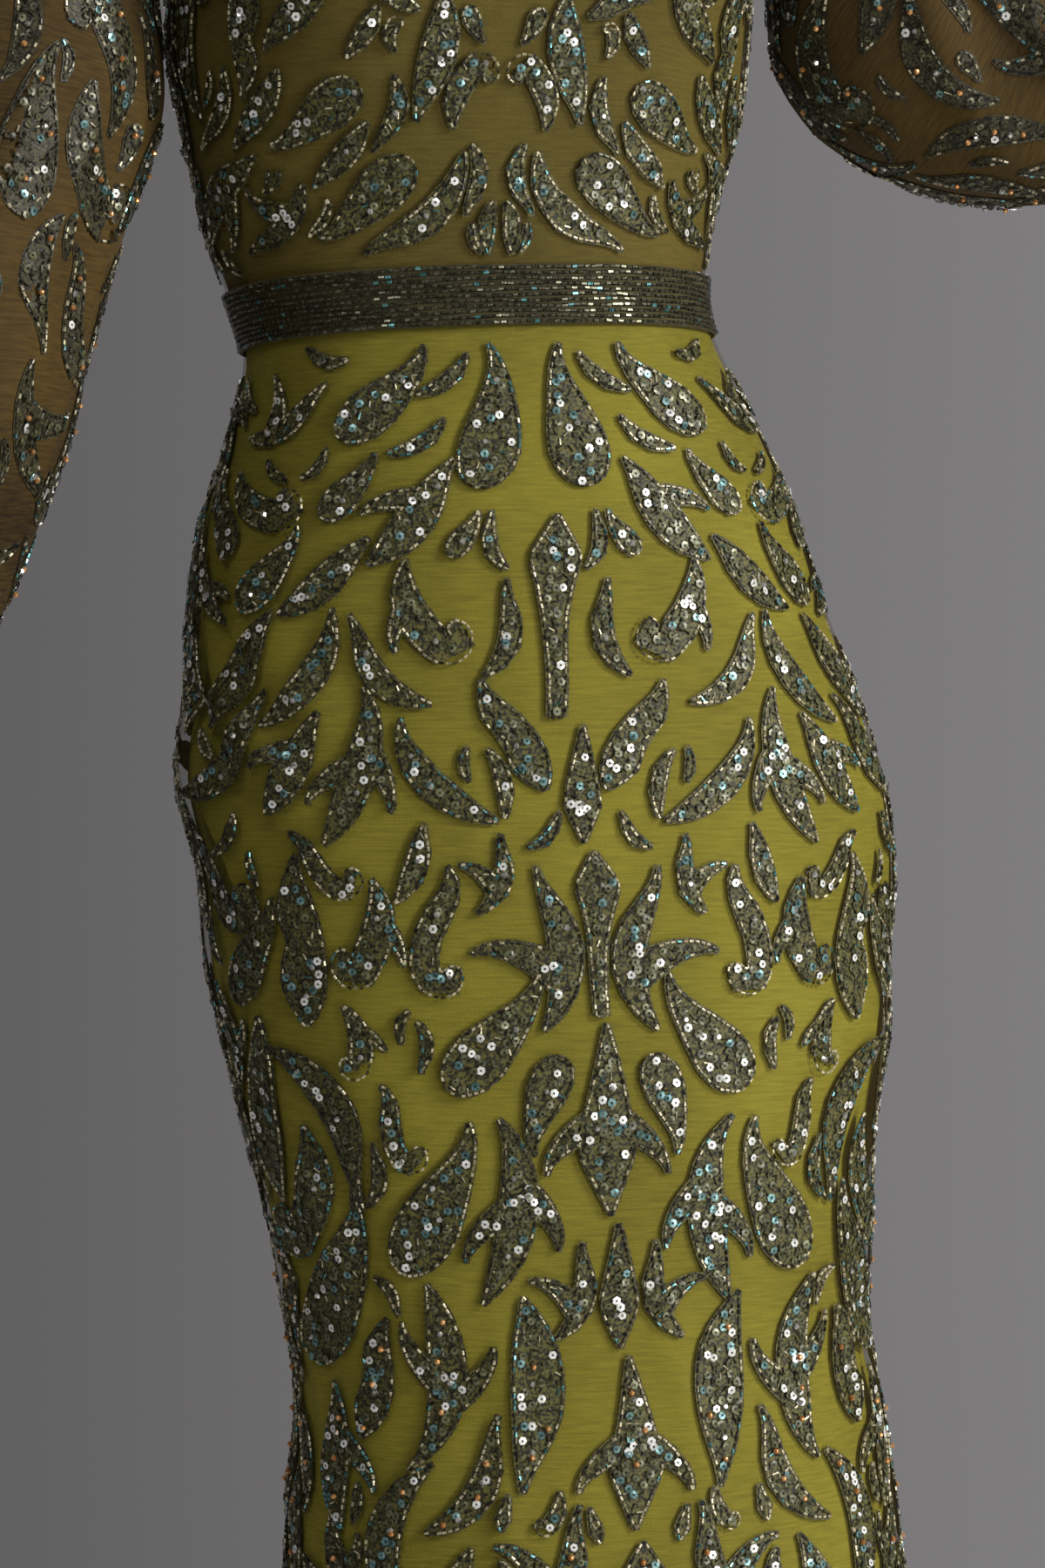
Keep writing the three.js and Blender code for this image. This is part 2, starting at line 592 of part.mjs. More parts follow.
// The closed zip between the two back pieces, through the same rows as theirs
function zip() {
  const loops = [];
  const add = (p, normal) => {
    const face = moved(p, normal, -0.3);
    const back = moved(face, normal, -zipWall);
    const corner = (point, side) => point.clone().setX(p.x + side * zipHalfWidth);
    loops.push([corner(face, 1), corner(face, -1), corner(back, -1), corner(back, 1)]);
  };
  for (const t of steps(yokeRows, 1, 0).slice(0, -1)) {
    const lift = backNeckLift * degrees * t;
    add(yokePoint(2 * right, lift), yokeNormal(2 * right, lift));
  }
  for (const rise of [...bodiceRises].reverse()) add(bodyPoint(2 * right, rise), bodyNormal(2 * right, rise));
  for (const rise of skirtRises.filter((r) => r >= zipEnd)) add(bodyPoint(2 * right, rise), bodyNormal(2 * right, rise));
  return bar(loops);
}

const plate = (shape, depth) => new THREE.ExtrudeGeometry(shape, { depth, bevelEnabled: false, curveSegments: 4 });

// Zip slider: a bridge with an eye, standing on the teeth. Its outline is drawn from the side.
const eyeHalf = 1.3;
const eyeOut = 2.5; // the eye's centre, out from the slider's foot
const sliderGap = 0.4;
function slider() {
  const shape = new THREE.Shape();
  shape.moveTo(0, -5);
  shape.lineTo(1.2, -5);
  shape.lineTo(1.2, -2.6);
  shape.lineTo(4.6, -1.9);
  shape.lineTo(4.6, 1.9);
  shape.lineTo(1.2, 2.6);
  shape.lineTo(1.2, 4);
  shape.lineTo(0, 4);
  const eye = new THREE.Path();
  eye.absarc(eyeOut, 0, eyeHalf, 0, 2 * Math.PI, true);
  shape.holes.push(eye);
  return plate(shape, 2.4).translate(0, 0, -1.2);
}

// Pull tab: a small drop with a window whose upper bar passes through the slider's eye
const tabLength = 24;
function pullTab() {
  const shape = new THREE.Shape();
  shape.moveTo(-2.7, 0.5);
  shape.lineTo(-2.7, -5);
  shape.lineTo(-1.9, -9);
  shape.quadraticCurveTo(-4.4, -tabLength, 0, -tabLength);
  shape.quadraticCurveTo(4.4, -tabLength, 1.9, -9);
  shape.lineTo(2.7, -5);
  shape.lineTo(2.7, 0.5);
  const window = new THREE.Path();
  window.moveTo(-1.7, -0.5);
  window.lineTo(1.7, -0.5);
  window.lineTo(1.7, -4.6);
  window.lineTo(-1.7, -4.6);
  shape.holes.push(window);
  return plate(shape, 1).translate(0, 0, -0.5);
}

// Materials
const finish = (color, roughness, metalness) => new THREE.MeshStandardMaterial({ color, roughness, metalness });
const beadedOlive = finish(0x8e8534, 0.6, 0.05);
const beadedNet = finish(0x6b5430, 0.6, 0.05);
const beadBand = finish(0x55584c, 0.3, 0.4);
const binding = finish(0x6f6430, 0.6, 0);
const brass = finish(0x8f8458, 0.35, 0.9);

const gown = new THREE.Group();
function add(name, geometry, material, group = gown) {
  const mesh = new THREE.Mesh(geometry, material);
  mesh.name = name;
  group.add(mesh);
  return mesh;
}

const pieceNames = { front: "front", backLeft: "back_left", backRight: "back_right" };
for (const [piece, label] of Object.entries(pieceNames)) {
  add(`skirt_${label}`, skirtPiece(piece), beadedOlive);
  add(`bodice_${label}`, bodicePiece(piece), beadedOlive);
}
add("belt", belt(), beadBand);
add("neck_binding", neckBinding(), binding);
add("back_zip", zip(), binding);

const sleeves = [
  { label: "right", rings: hangingSleeve, folds: hangingFolds, side: -1 },
  { label: "left", rings: raisedSleeve, folds: raisedFolds, side: 1 },
];
for (const { label, rings, folds, side } of sleeves) {
  const { outer, inner } = sleeveRings(rings, folds, side);
  add(`sleeve_${label}`, wall(outer, inner, true), beadedNet);
  add(`cuff_${label}`, cuff(rings, folds, side), beadedNet);
}

// The slider stands just clear of the teeth near the top of the zip, in a group turned to the cloth's slope:
// X across the back, Y out from the cloth and Z up along it.
const sliderLift = (backNeckLift - 14) * degrees;
const sliderNormal = yokeNormal(2 * right, sliderLift);
const hardware = new THREE.Group();
hardware.position.copy(moved(yokePoint(2 * right, sliderLift), sliderNormal, sliderGap));
hardware.rotation.x = Math.atan2(sliderNormal.z, sliderNormal.y);
gown.add(hardware);
add("zip_slider", slider().rotateZ(right).rotateY(right), brass, hardware);
add("zip_tab", pullTab().rotateX(right).translate(0, eyeOut, 0), brass, hardware);

export default gown;
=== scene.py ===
import math

import bpy
import numpy as np
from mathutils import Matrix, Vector


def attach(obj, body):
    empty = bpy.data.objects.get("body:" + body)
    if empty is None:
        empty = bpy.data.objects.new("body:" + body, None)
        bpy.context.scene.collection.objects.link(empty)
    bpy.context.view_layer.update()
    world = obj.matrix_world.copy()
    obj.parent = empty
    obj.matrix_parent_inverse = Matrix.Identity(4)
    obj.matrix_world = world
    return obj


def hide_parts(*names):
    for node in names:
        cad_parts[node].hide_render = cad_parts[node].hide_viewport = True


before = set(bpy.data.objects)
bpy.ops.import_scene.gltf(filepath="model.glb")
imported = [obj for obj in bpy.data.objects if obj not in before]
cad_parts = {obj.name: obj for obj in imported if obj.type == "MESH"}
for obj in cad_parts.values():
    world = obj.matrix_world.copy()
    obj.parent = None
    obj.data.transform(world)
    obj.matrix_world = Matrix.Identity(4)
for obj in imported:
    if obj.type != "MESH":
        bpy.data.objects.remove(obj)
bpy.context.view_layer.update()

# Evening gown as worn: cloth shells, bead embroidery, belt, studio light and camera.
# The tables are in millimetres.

MM = 0.001
BODY = "gown"
PI = math.pi
HALF_PI = math.pi / 2

# Camera
AZIMUTH = math.radians(-12)
DISTANCE = 1.83
SIDEWAYS = 0.03
CAMERA_Z = -0.641
camera_data = bpy.data.cameras.new("camera")
camera_data.lens = 85
camera_data.sensor_width = 36
camera = bpy.data.objects.new("camera", camera_data)
bpy.context.scene.collection.objects.link(camera)
side_way = Vector((math.cos(AZIMUTH), math.sin(AZIMUTH), 0))
camera.location = DISTANCE * Vector((math.sin(AZIMUTH), -math.cos(AZIMUTH), 0)) + SIDEWAYS * side_way
camera.location.z = CAMERA_Z
camera.rotation_euler = (HALF_PI, 0, AZIMUTH)
bpy.context.scene.camera = camera

# Sizes, as in the solids
WAIST_DROP = 410
SKIRT = 1130
BUST_RISE = 165
SHOULDER_HALF = 182
NECK_HALF = 72
SHOULDER_FALL = 45
UNDERARM_LIFT = math.radians(12)
SCOOP = math.radians(38)
NECK_LIFT = {True: math.radians(39), False: math.radians(72)}  # front, back
SHOULDER_LIFT = HALF_PI * 0.998
NECK_ANGLE = math.asin(NECK_HALF / SHOULDER_HALF)
NECK_COLUMNS, SHOULDER_COLUMNS, ARM_COLUMNS = 5, 3, 8
QUARTER = NECK_COLUMNS + SHOULDER_COLUMNS + ARM_COLUMNS
ZIP_END = -190
ZIP_SLOT = 2  # half the gap between the back's edges
BINDING_HEIGHT, BINDING_WALL = 7, 1.6
YOKE_ARC = 190.0  # millimetres of cloth to a radian of the arc that closes over the shoulder
LEVELS = np.array([
    # rise, half, front, back, sway, slope
    (165, 144, 114, 92, -2, 0), (128, 143, 110, 89, -2, 0.01), (91, 138, 103, 85, -1, 0.02),
    (48, 127, 92, 80, -1, 0.04), (5, 117, 85, 76, 4, 0.047), (-16, 117, 86, 79, 9, 0.047),
    (-59, 132, 94, 93, 16, 0.04), (-101, 148, 100, 106, 19, 0.03), (-145, 158, 103, 115, 23, 0.02),
    (-187, 168, 104, 121, 31, 0.01), (-231, 177, 105, 121, 37, 0), (-274, 174, 105, 116, 44, 0),
    (-317, 171, 104, 108, 45, 0), (-361, 166, 102, 100, 49, 0), (-405, 157, 99, 93, 51, 0),
    (-448, 151, 96, 89, 56, 0), (-492, 146, 94, 87, 59, 0), (-535, 147, 95, 89, 65, 0),
    (-579, 152, 99, 95, 66, 0), (-622, 156, 106, 104, 68, 0), (-700, 178, 131, 132, 70, 0),
    (-800, 218, 172, 178, 72, 0), (-920, 265, 220, 238, 73, 0), (-1030, 300, 258, 285, 73, 0),
    (-1130, 326, 286, 318, 73, 0)], float)[::-1]
SWELLINGS = [(33, 160, 24, 46, 17), (-33, 160, 24, 46, 17)]  # angle, rise, wide, tall, height
DRAG_FOLDS = [  # angle, rise, to angle, to rise, wide, height
    (-74, -92, -38, -206, 13, 2.6), (-82, -128, -44, -262, 13, 2.8), (-84, -176, -52, -330, 14, 2.4),
    (80, -120, 50, -214, 13, 1.8), (128, -96, 152, -196, 14, 2.2), (-128, -96, -152, -196, 14, 2.2)]
FLUTES, FLUTE_START, FLUTE_HEIGHT = 7, -640, 17
HANGING = np.array([  # under out, under up, top out, top up, front, back, ahead
    (158, -199, 199, -58, 56, 54, 0), (157, -214, 232, -104, 66, 62, 0), (154, -240, 266, -168, 74, 70, 2),
    (151, -276, 298, -232, 80, 76, 4), (150, -318, 328, -292, 84, 80, 6), (165, -368, 355, -352, 88, 84, 9),
    (182, -424, 379, -418, 90, 86, 12), (196, -478, 398, -486, 90, 86, 15), (216, -532, 411, -550, 86, 82, 18),
    (238, -580, 417, -606, 77, 74, 21), (266, -616, 413, -646, 62, 60, 23), (291, -645, 398, -656, 46, 45, 24),
    (308, -665, 375, -652, 34, 34, 24)], float)
RAISED = np.array([
    (158, -204, 199, -58, 56, 54, 0), (161, -240, 224, -84, 62, 58, 0), (163, -276, 250, -108, 66, 62, 0),
    (184, -309, 276, -130, 70, 66, 2), (222, -332, 302, -149, 72, 68, 4), (268, -344, 327, -164, 73, 69, 8),
    (320, -340, 350, -174, 73, 69, 14), (372, -318, 370, -177, 72, 68, 22), (420, -281, 387, -171, 70, 66, 32),
    (456, -240, 400, -157, 66, 62, 44), (478, -184, 409, -138, 60, 56, 56), (486, -130, 413, -116, 50, 47, 66),
    (482, -92, 416, -92, 36, 35, 73)], float)
# Folds of the sleeves, then their sharper creases: turn, along, to turn, to along, wide, height
HANGING_FOLDS = [
    (40, 0.1, 62, 0.5, 15, 3.5), (78, 0.42, 92, 0.9, 14, 4), (128, 0.3, 122, 0.86, 14, 3.5),
    (244, 0.3, 252, 0.86, 15, 4), (300, 0.12, 288, 0.8, 15, 4),
    (52, 0.12, 74, 0.6, 6, 4), (66, 0.2, 88, 0.72, 5, -3.5), (100, 0.16, 112, 0.66, 6, 4),
    (124, 0.3, 116, 0.92, 5, -3.5), (146, 0.2, 158, 0.7, 6, 3.5), (34, 0.4, 50, 0.94, 6, 3.5),
    (210, 0.2, 222, 0.8, 6, 4), (250, 0.14, 238, 0.6, 5, -3.5), (282, 0.3, 296, 0.9, 6, 4),
    (320, 0.2, 330, 0.7, 6, 3.5)]
RAISED_FOLDS = [
    (28, 0.1, 118, 0.58, 13, 7), (18, 0.3, 92, 0.74, 12, 7), (64, 0.08, 150, 0.42, 12, 5),
    (30, 0.56, 74, 0.92, 13, 5), (330, 0.12, 240, 0.56, 14, 6), (336, 0.4, 268, 0.8, 13, 6),
    (46, 0.14, 132, 0.5, 6, 5.5), (60, 0.22, 140, 0.62, 5, -4.5), (30, 0.36, 84, 0.82, 6, 5),
    (10, 0.5, 60, 0.9, 5, -4), (100, 0.3, 150, 0.86, 6, 4.5), (350, 0.2, 300, 0.7, 6, 4.5),
    (334, 0.36, 262, 0.62, 5, -4), (250, 0.2, 214, 0.8, 6, 4.5), (200, 0.12, 186, 0.6, 6, 4)]

# Small creases of the cloth, which the solids leave out: angle, rise, to angle, to rise, wide, height
CREASE_DEPTH = 2.1
CREASES = [
    (-88, -70, -60, -150, 5, -1.2), (-80, -104, -44, -196, 5, 1.1), (-86, -150, -56, -246, 6, -1.4),
    (-78, -160, -40, -246, 5, 1.2), (-88, -204, -60, -300, 6, 1.3), (-74, -236, -50, -330, 5, -1.1),
    (-66, -330, -58, -470, 6, 1.2), (-52, -360, -48, -500, 6, -1.1), (-78, -380, -70, -560, 6, 1.3),
    (20, -24, 58, -30, 4, 0.9), (34, -38, 70, -46, 4, -0.8), (-18, 34, 30, 42, 5, 1.0),
    (-52, 40, -14, 52, 5, -0.8), (18, 58, 62, 66, 5, 0.9), (-70, 60, -34, 76, 5, 0.9),
    (56, -180, 74, -300, 6, 1.0), (62, -300, 66, -440, 6, 1.2), (48, -430, 58, -560, 6, 1.0),
    (8, -470, 14, -600, 7, 0.9), (-22, -480, -26, -620, 7, 1.0), (96, -80, 128, -150, 6, 1.2),
    (-96, -80, -130, -160, 6, 1.3), (112, -150, 150, -210, 6, 1.1), (-110, -170, -150, -240, 6, 1.2),
    (150, 36, 196, 44, 5, 1.1), (160, 62, 204, 58, 5, -0.9), (128, -330, 134, -520, 7, 1.3),
    (-128, -320, -136, -520, 7, 1.3), (170, -300, 176, -500, 7, 1.0), (100, -400, 104, -600, 7, 1.0)]
BODY_FOLDS = DRAG_FOLDS + [(*crease[:5], crease[5] * CREASE_DEPTH) for crease in CREASES]
BODY_DEGREE, SLEEVE_DEGREE = 2.3, 1.45  # millimetres round the cloth to a degree, for the folds


def curve(xs, ys, x):
    """Smooth value of one column of a table at x, as in the solids."""
    i = np.clip(np.searchsorted(xs, x, side="right") - 1, 0, len(xs) - 2)
    before, after = np.maximum(np.arange(len(xs)) - 1, 0), np.minimum(np.arange(len(xs)) + 1, len(xs) - 1)
    slope = (ys[after] - ys[before]) / (xs[after] - xs[before])
    step = xs[i + 1] - xs[i]
    t = np.clip((x - xs[i]) / step, 0, 1)
    t2, t3 = t * t, t * t * t
    return (ys[i] * (2 * t3 - 3 * t2 + 1) + ys[i + 1] * (3 * t2 - 2 * t3)
            + slope[i] * step * (t3 - 2 * t2 + t) + slope[i + 1] * step * (t3 - t2))


def arc_lengths(points):
    """Distance of each point from the first one, along the path."""
    return np.concatenate([[0], np.cumsum(np.linalg.norm(np.diff(points, axis=0), axis=1))])


def interp_points(at, places, points):
    return np.stack([np.interp(at, places, column) for column in points.T], -1)


def unit(a):
    return a / np.maximum(np.linalg.norm(a, axis=-1, keepdims=True), 1e-9)


def ridge(x, y, fold, scale_x, scale_y):
    """Height of one fold at x, y: a rounded ridge along the line between its two ends."""
    fx, fy, tx, ty, wide, height = fold
    fx, tx, fy, ty = fx * scale_x, tx * scale_x, fy * scale_y, ty * scale_y
    dx, dy = tx - fx, ty - fy
    share = np.clip(((x - fx) * dx + (y - fy) * dy) / (dx * dx + dy * dy), 0, 1)
    off = np.hypot(x - fx - share * dx, y - fy - share * dy)
    return height * np.exp(-((off / wide) ** 2)) * (0.35 + 0.65 * np.sin(PI * share))


def smoothstep(x, low, high):
    t = np.clip((x - low) / (high - low), 0, 1)
    return t * t * (3 - 2 * t)


def swell(turn, rise, folds):
    """How far the cloth stands out from the plain body ring."""
    degrees = np.degrees(turn)
    out = np.zeros_like(degrees)
    for angle, level, wide, tall, height in SWELLINGS:
        out = out + height * np.exp(-(((degrees - angle) / wide) ** 2) - ((rise - level) / tall) ** 2)
    for fold in folds:
        for past in (0, 360) if abs(fold[2]) > 180 else (0,):
            out = out + ridge((degrees + past) * BODY_DEGREE, rise, fold, BODY_DEGREE, 1)
    share = np.clip((FLUTE_START - rise) / (FLUTE_START + SKIRT), 0, 1)
    out = out + FLUTE_HEIGHT * share ** 1.4 * np.cos(FLUTES * turn + 0.5 * np.sin(2 * turn))
    return out + 0.35 * np.sin(rise * 0.061 + 3.1 * np.sin(turn)) * np.sin(5 * turn + rise * 0.013)


def torso(angle, height, folds=tuple(BODY_FOLDS)):
    """Points of the outer cloth. height is the rise above the waist, past the bust line along the yoke."""
    angle, height = np.broadcast_arrays(np.asarray(angle, float), np.asarray(height, float))
    turn = np.arctan2(np.sin(angle), np.cos(angle))
    rise = np.minimum(height, BUST_RISE)
    lift = np.maximum(height - BUST_RISE, 0) / YOKE_ARC
    half, front, back, sway, slope = (curve(LEVELS[:, 0], LEVELS[:, c], rise) for c in range(1, 6))
    rounding = 1 + 0.035 * np.sin(2 * turn) ** 2
    is_front = np.cos(turn) > 0
    out = swell(turn, np.where(lift > 0, BUST_RISE + 170 * np.sin(lift), rise), folds) * np.cos(lift)
    closing = np.maximum(np.cos(lift), 0) ** np.where(is_front, 1.3, 0.85)
    depth = (np.where(is_front, front, back) + out) * closing
    half = half + (SHOULDER_HALF - half) * np.sin(lift) ** 2
    across = (half + out) * np.sin(turn) * rounding
    fall = SHOULDER_FALL * np.maximum(0, np.abs(across) - NECK_HALF) / (SHOULDER_HALF - NECK_HALF)
    up = rise - WAIST_DROP + slope * across
    bust_up = BUST_RISE - WAIST_DROP
    up = np.where(lift > 0, bust_up + (-fall - bust_up) * np.sin(lift), up)
    return np.stack([sway * np.cos(lift) + across, -depth * np.cos(turn) * rounding, up], -1)


def tangents(surface, u, v, du, dv):
    """Derivatives of a surface along its two numbers."""
    along_u = (surface(u + du, v) - surface(u - du, v)) / (2 * du)
    along_v = (surface(u, v + dv) - surface(u, v - dv)) / (2 * dv)
    return along_u, along_v


TORSO_TOP = BUST_RISE + YOKE_ARC * (HALF_PI - 0.03)


def torso_normal(angle, height):
    a, b = tangents(torso, angle, np.minimum(height, TORSO_TOP), 0.01, 1.5)
    return unit(np.cross(a, b))


def side_limit(lift):
    share = np.clip((lift - UNDERARM_LIFT) / (HALF_PI - UNDERARM_LIFT), 0, 1)
    return HALF_PI - SCOOP * np.sin(PI * share) ** 0.8


def top_lift(column, is_front):
    low = NECK_LIFT[is_front]
    neck = low + (SHOULDER_LIFT - low) * (1 - np.sqrt(np.maximum(0, 1 - (column / NECK_COLUMNS) ** 2)))
    share = np.maximum(0, column - NECK_COLUMNS - SHOULDER_COLUMNS) / ARM_COLUMNS
    arm = SHOULDER_LIFT + (UNDERARM_LIFT - SHOULDER_LIFT) * share
    return np.where(column <= NECK_COLUMNS, neck, arm)


def column_angle(column, share, lift):
    limit = side_limit(lift)
    past_neck = np.clip((column - NECK_COLUMNS) / SHOULDER_COLUMNS, 0, 1)
    goal = np.minimum(column / NECK_COLUMNS, 1) * NECK_ANGLE + (limit - NECK_ANGLE) * past_neck
    return column / QUARTER * limit * (1 - share) + goal * share


def armhole(turn, side):
    """The armhole's edge, from the shoulder tip over the front to the underarm and up the back."""
    turn = np.mod(turn, 2 * PI)
    is_front = turn <= PI
    column = QUARTER - ARM_COLUMNS * np.abs(turn - PI) / PI
    lift = top_lift(column, True)
    limit = side_limit(lift)
    angle = np.where(is_front, side * limit, PI - side * limit)
    return torso(angle, BUST_RISE + YOKE_ARC * lift)


SLEEVES = {1: (RAISED, RAISED_FOLDS), -1: (HANGING, HANGING_FOLDS)}
SLEEVE_LENGTH = 560
HEAD = 0.09  # share of the parameter given to the step from the armhole to the first ring


def sleeve_form(side, turn, along):
    rows, folds = SLEEVES[side]
    places = np.linspace(0, 1, len(rows))
    under_out, under_up, top_out, top_up, front, back, ahead = (
        curve(places, rows[:, c], along) for c in range(7))
    height = np.hypot(top_out - under_out, top_up - under_up) / 2
    depth = np.where(np.sin(turn) > 0, front, back)
    spot = np.mod(np.degrees(turn), 360) * SLEEVE_DEGREE
    out = np.zeros_like(spot)
    for fold in folds:
        out = out + ridge(spot, along * SLEEVE_LENGTH, fold, SLEEVE_DEGREE, SLEEVE_LENGTH)
    out = out + 2.6 * np.cos(8 * turn) * smoothstep(along, 0.72, 0.92)
    out = out + 1.5 * np.cos(12 * turn) * (1 - smoothstep(along, 0.04, 0.22))
    out = out + 0.9 * np.cos(23 * turn + 4 * np.sin(3 * turn)) * smoothstep(along, 0.84, 0.98)
    out = out + 0.8 * np.sin(3 * turn + along * 17 + 2 * np.sin(2 * turn)) * smoothstep(along, 0.1, 0.3)
    fade = smoothstep(along, 0, 0.08)
    reach = (height + out * fade) * np.cos(turn)
    return np.stack([
        side * ((top_out + under_out) / 2 + (top_out - under_out) / (2 * height) * reach),
        -ahead - (depth + out * fade) * np.sin(turn),
        (top_up + under_up) / 2 + (top_up - under_up) / (2 * height) * reach], -1)


def sleeve(side):
    """The sleeve's cloth: v from 0 at the armhole to 1 at the cuff seam."""
    def surface(turn, v):
        turn, v = np.broadcast_arrays(np.asarray(turn, float), np.asarray(v, float))
        along = np.maximum(v - HEAD, 0) / (1 - HEAD)
        form = sleeve_form(side, turn, along)
        share = np.clip(v / HEAD, 0, 1)[..., None]
        edge = armhole(turn, side)
        mixed = edge + (form - edge) * (share ** 0.8)
        return np.where(share < 1, mixed, form)
    return surface


# Meshes
def link(obj):
    bpy.context.scene.collection.objects.link(obj)
    return obj


def mesh_object(name, points, quads=(), triangles=(), materials=(), indices=None, uv=None, smooth=True):
    """A mesh from arrays, with points in millimetres. indices: each face's material, quads first."""
    quads = np.asarray(quads, np.int32).reshape(-1, 4)
    triangles = np.asarray(triangles, np.int32).reshape(-1, 3)
    corners = np.concatenate([quads.ravel(), triangles.ravel()])
    sizes = np.repeat([4, 3], [len(quads), len(triangles)])
    mesh = bpy.data.meshes.new(name)
    mesh.vertices.add(len(points))
    mesh.vertices.foreach_set("co", (np.asarray(points, np.float32) * MM).ravel())
    mesh.loops.add(len(corners))
    mesh.loops.foreach_set("vertex_index", corners)
    mesh.polygons.add(len(sizes))
    mesh.polygons.foreach_set("loop_start", np.concatenate([[0], np.cumsum(sizes)[:-1]]).astype(np.int32))
    if uv is not None:
        mesh.uv_layers.new(name="cloth").data.foreach_set("uv", np.asarray(uv, np.float32)[corners].ravel())
    for material in materials:
        mesh.materials.append(material)
    if indices is not None:
        mesh.polygons.foreach_set("material_index", indices.astype(np.int32))
    mesh.polygons.foreach_set("use_smooth", np.full(len(sizes), smooth))
    mesh.update(calc_edges=True)
    mesh.validate()
    return link(bpy.data.objects.new(name, mesh))


def grid_faces(rows, columns, closed=False):
    """Quads of a grid of points, row by row. A closed grid joins its last column to its first."""
    i, j = np.meshgrid(np.arange(rows - 1), np.arange(columns if closed else columns - 1), indexing="ij")
    k = (j + 1) % columns
    corners = [i * columns + j, i * columns + k, (i + 1) * columns + k, (i + 1) * columns + j]
    return np.stack(corners, -1).reshape(-1, 4)


def finish_piece(obj, nodes=()):
    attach(obj, BODY)
    if nodes:
        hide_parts(*nodes)
    return obj


def cloth_piece(name, grid, across, up, material, node, closed=False, ends=()):
    """A piece of cloth from rows of points; across and up are its texture places in metres."""
    uv = np.stack(np.broadcast_arrays(across, up), -1).reshape(-1, 2)
    obj = mesh_object(name, grid.reshape(-1, 3), grid_faces(*grid.shape[:2], closed), ends, [material], uv=uv)
    return finish_piece(obj, [node])


# Materials
def add_node(tree, kind, inputs, **settings):
    """A new node whose inputs are fed from sockets or set to values."""
    node = tree.nodes.new("ShaderNode" + kind)
    for key, value in settings.items():
        setattr(node, key, value)
    return feed(tree, node, inputs)


def feed(tree, node, inputs):
    for key, value in inputs.items():
        if isinstance(value, bpy.types.NodeSocket):
            tree.links.new(value, node.inputs[key])
        else:
            node.inputs[key].default_value = value
    return node


def new_material(name):
    material = bpy.data.materials.new(name)
    material.use_nodes = True
    tree = material.node_tree
    return material, tree, tree.nodes["Principled BSDF"], add_node(tree, "TexCoord", {}).outputs["Object"]


def noise(tree, place, scale, detail, stretch=(1, 1, 1)):
    mapped = add_node(tree, "Mapping", {"Vector": place, "Scale": stretch}).outputs["Vector"]
    return add_node(tree, "TexNoise", {"Vector": mapped, "Scale": scale, "Detail": detail}).outputs["Fac"]


def ramp(tree, factor, low, dark, high, light):
    """A colour that runs from dark at low to light at high."""
    node = add_node(tree, "ValToRGB", {"Fac": factor})
    for element, position, colour in zip(node.color_ramp.elements, (low, high), (dark, light)):
        element.position = position
        element.color = (*colour, 1)
    return node.outputs["Color"]


def cloth_material(name, dark, light, roughness, alpha, grain):
    """Matt cloth with a crosswise grain, soft colour variation and a fine bump."""
    material, tree, shader, place = new_material(name)
    uv = add_node(tree, "UVMap", {}, uv_map="cloth").outputs["UV"]
    streaks, weave = noise(tree, uv, 1.0, 3, (70, 760, 1)), noise(tree, uv, 1.0, 1, (1500, 1500, 1))
    mix = add_node(tree, "Math", {0: streaks, 1: 0.9, 2: noise(tree, place, 9, 2)}, operation="MULTIPLY_ADD")
    half = add_node(tree, "Math", {0: mix.outputs[0], 1: 0.5}, operation="MULTIPLY")
    height = add_node(tree, "Math", {0: streaks, 1: weave}, operation="ADD")
    bump = add_node(tree, "Bump", {"Strength": grain, "Distance": 0.0006, "Height": height.outputs[0]})
    feed(tree, shader, {
        "Base Color": ramp(tree, half.outputs[0], 0.32, dark, 0.66, light), "Normal": bump.outputs["Normal"],
        "Roughness": roughness, "Specular IOR Level": 0.25, "Alpha": alpha})
    return material


def bead_material(name, dark, light, roughness, metallic, scale):
    """Glass, foil or metal beads whose tone changes from bead to bead."""
    material, tree, shader, place = new_material(name)
    rough = add_node(tree, "MapRange", {
        "Value": noise(tree, place, scale * 2, 0), "To Min": roughness * 0.6, "To Max": roughness * 1.5})
    feed(tree, shader, {
        "Base Color": ramp(tree, noise(tree, place, scale, 0), 0.36, dark, 0.64, light),
        "Roughness": rough.outputs["Result"], "Metallic": metallic})
    return material


CLOTHS = {
    # name: (dark, light, roughness, alpha, grain)
    "olive_lining": ((0.21, 0.186, 0.017), (0.40, 0.36, 0.035), 0.75, 1, 0.6),
    # The bodice lining is darker than the skirt's olive lining, in part as painted shade for the light falling
    # off upwards
    "bodice_lining_painted_shade": ((0.11, 0.084, 0.014), (0.20, 0.156, 0.026), 0.75, 1, 0.6),
    "skirt_net": ((0.07, 0.05, 0.012), (0.11, 0.08, 0.02), 0.85, 0.24, 0.2),
    # The sleeve net's wide range from dark to light paints golden highlights and shaded hollows in blotches
    # over its own golden brown
    "sleeve_net_painted_light": ((0.022, 0.012, 0.003), (0.105, 0.064, 0.013), 0.8, 0.95, 0.4),
    "band_cloth": ((0.05, 0.042, 0.018), (0.09, 0.075, 0.03), 0.8, 1, 0.3),
    "binding_cloth": ((0.12, 0.095, 0.025), (0.18, 0.145, 0.04), 0.7, 1, 0.3),
    "zip_tape": ((0.10, 0.085, 0.015), (0.15, 0.125, 0.022), 0.8, 1, 0.4)}
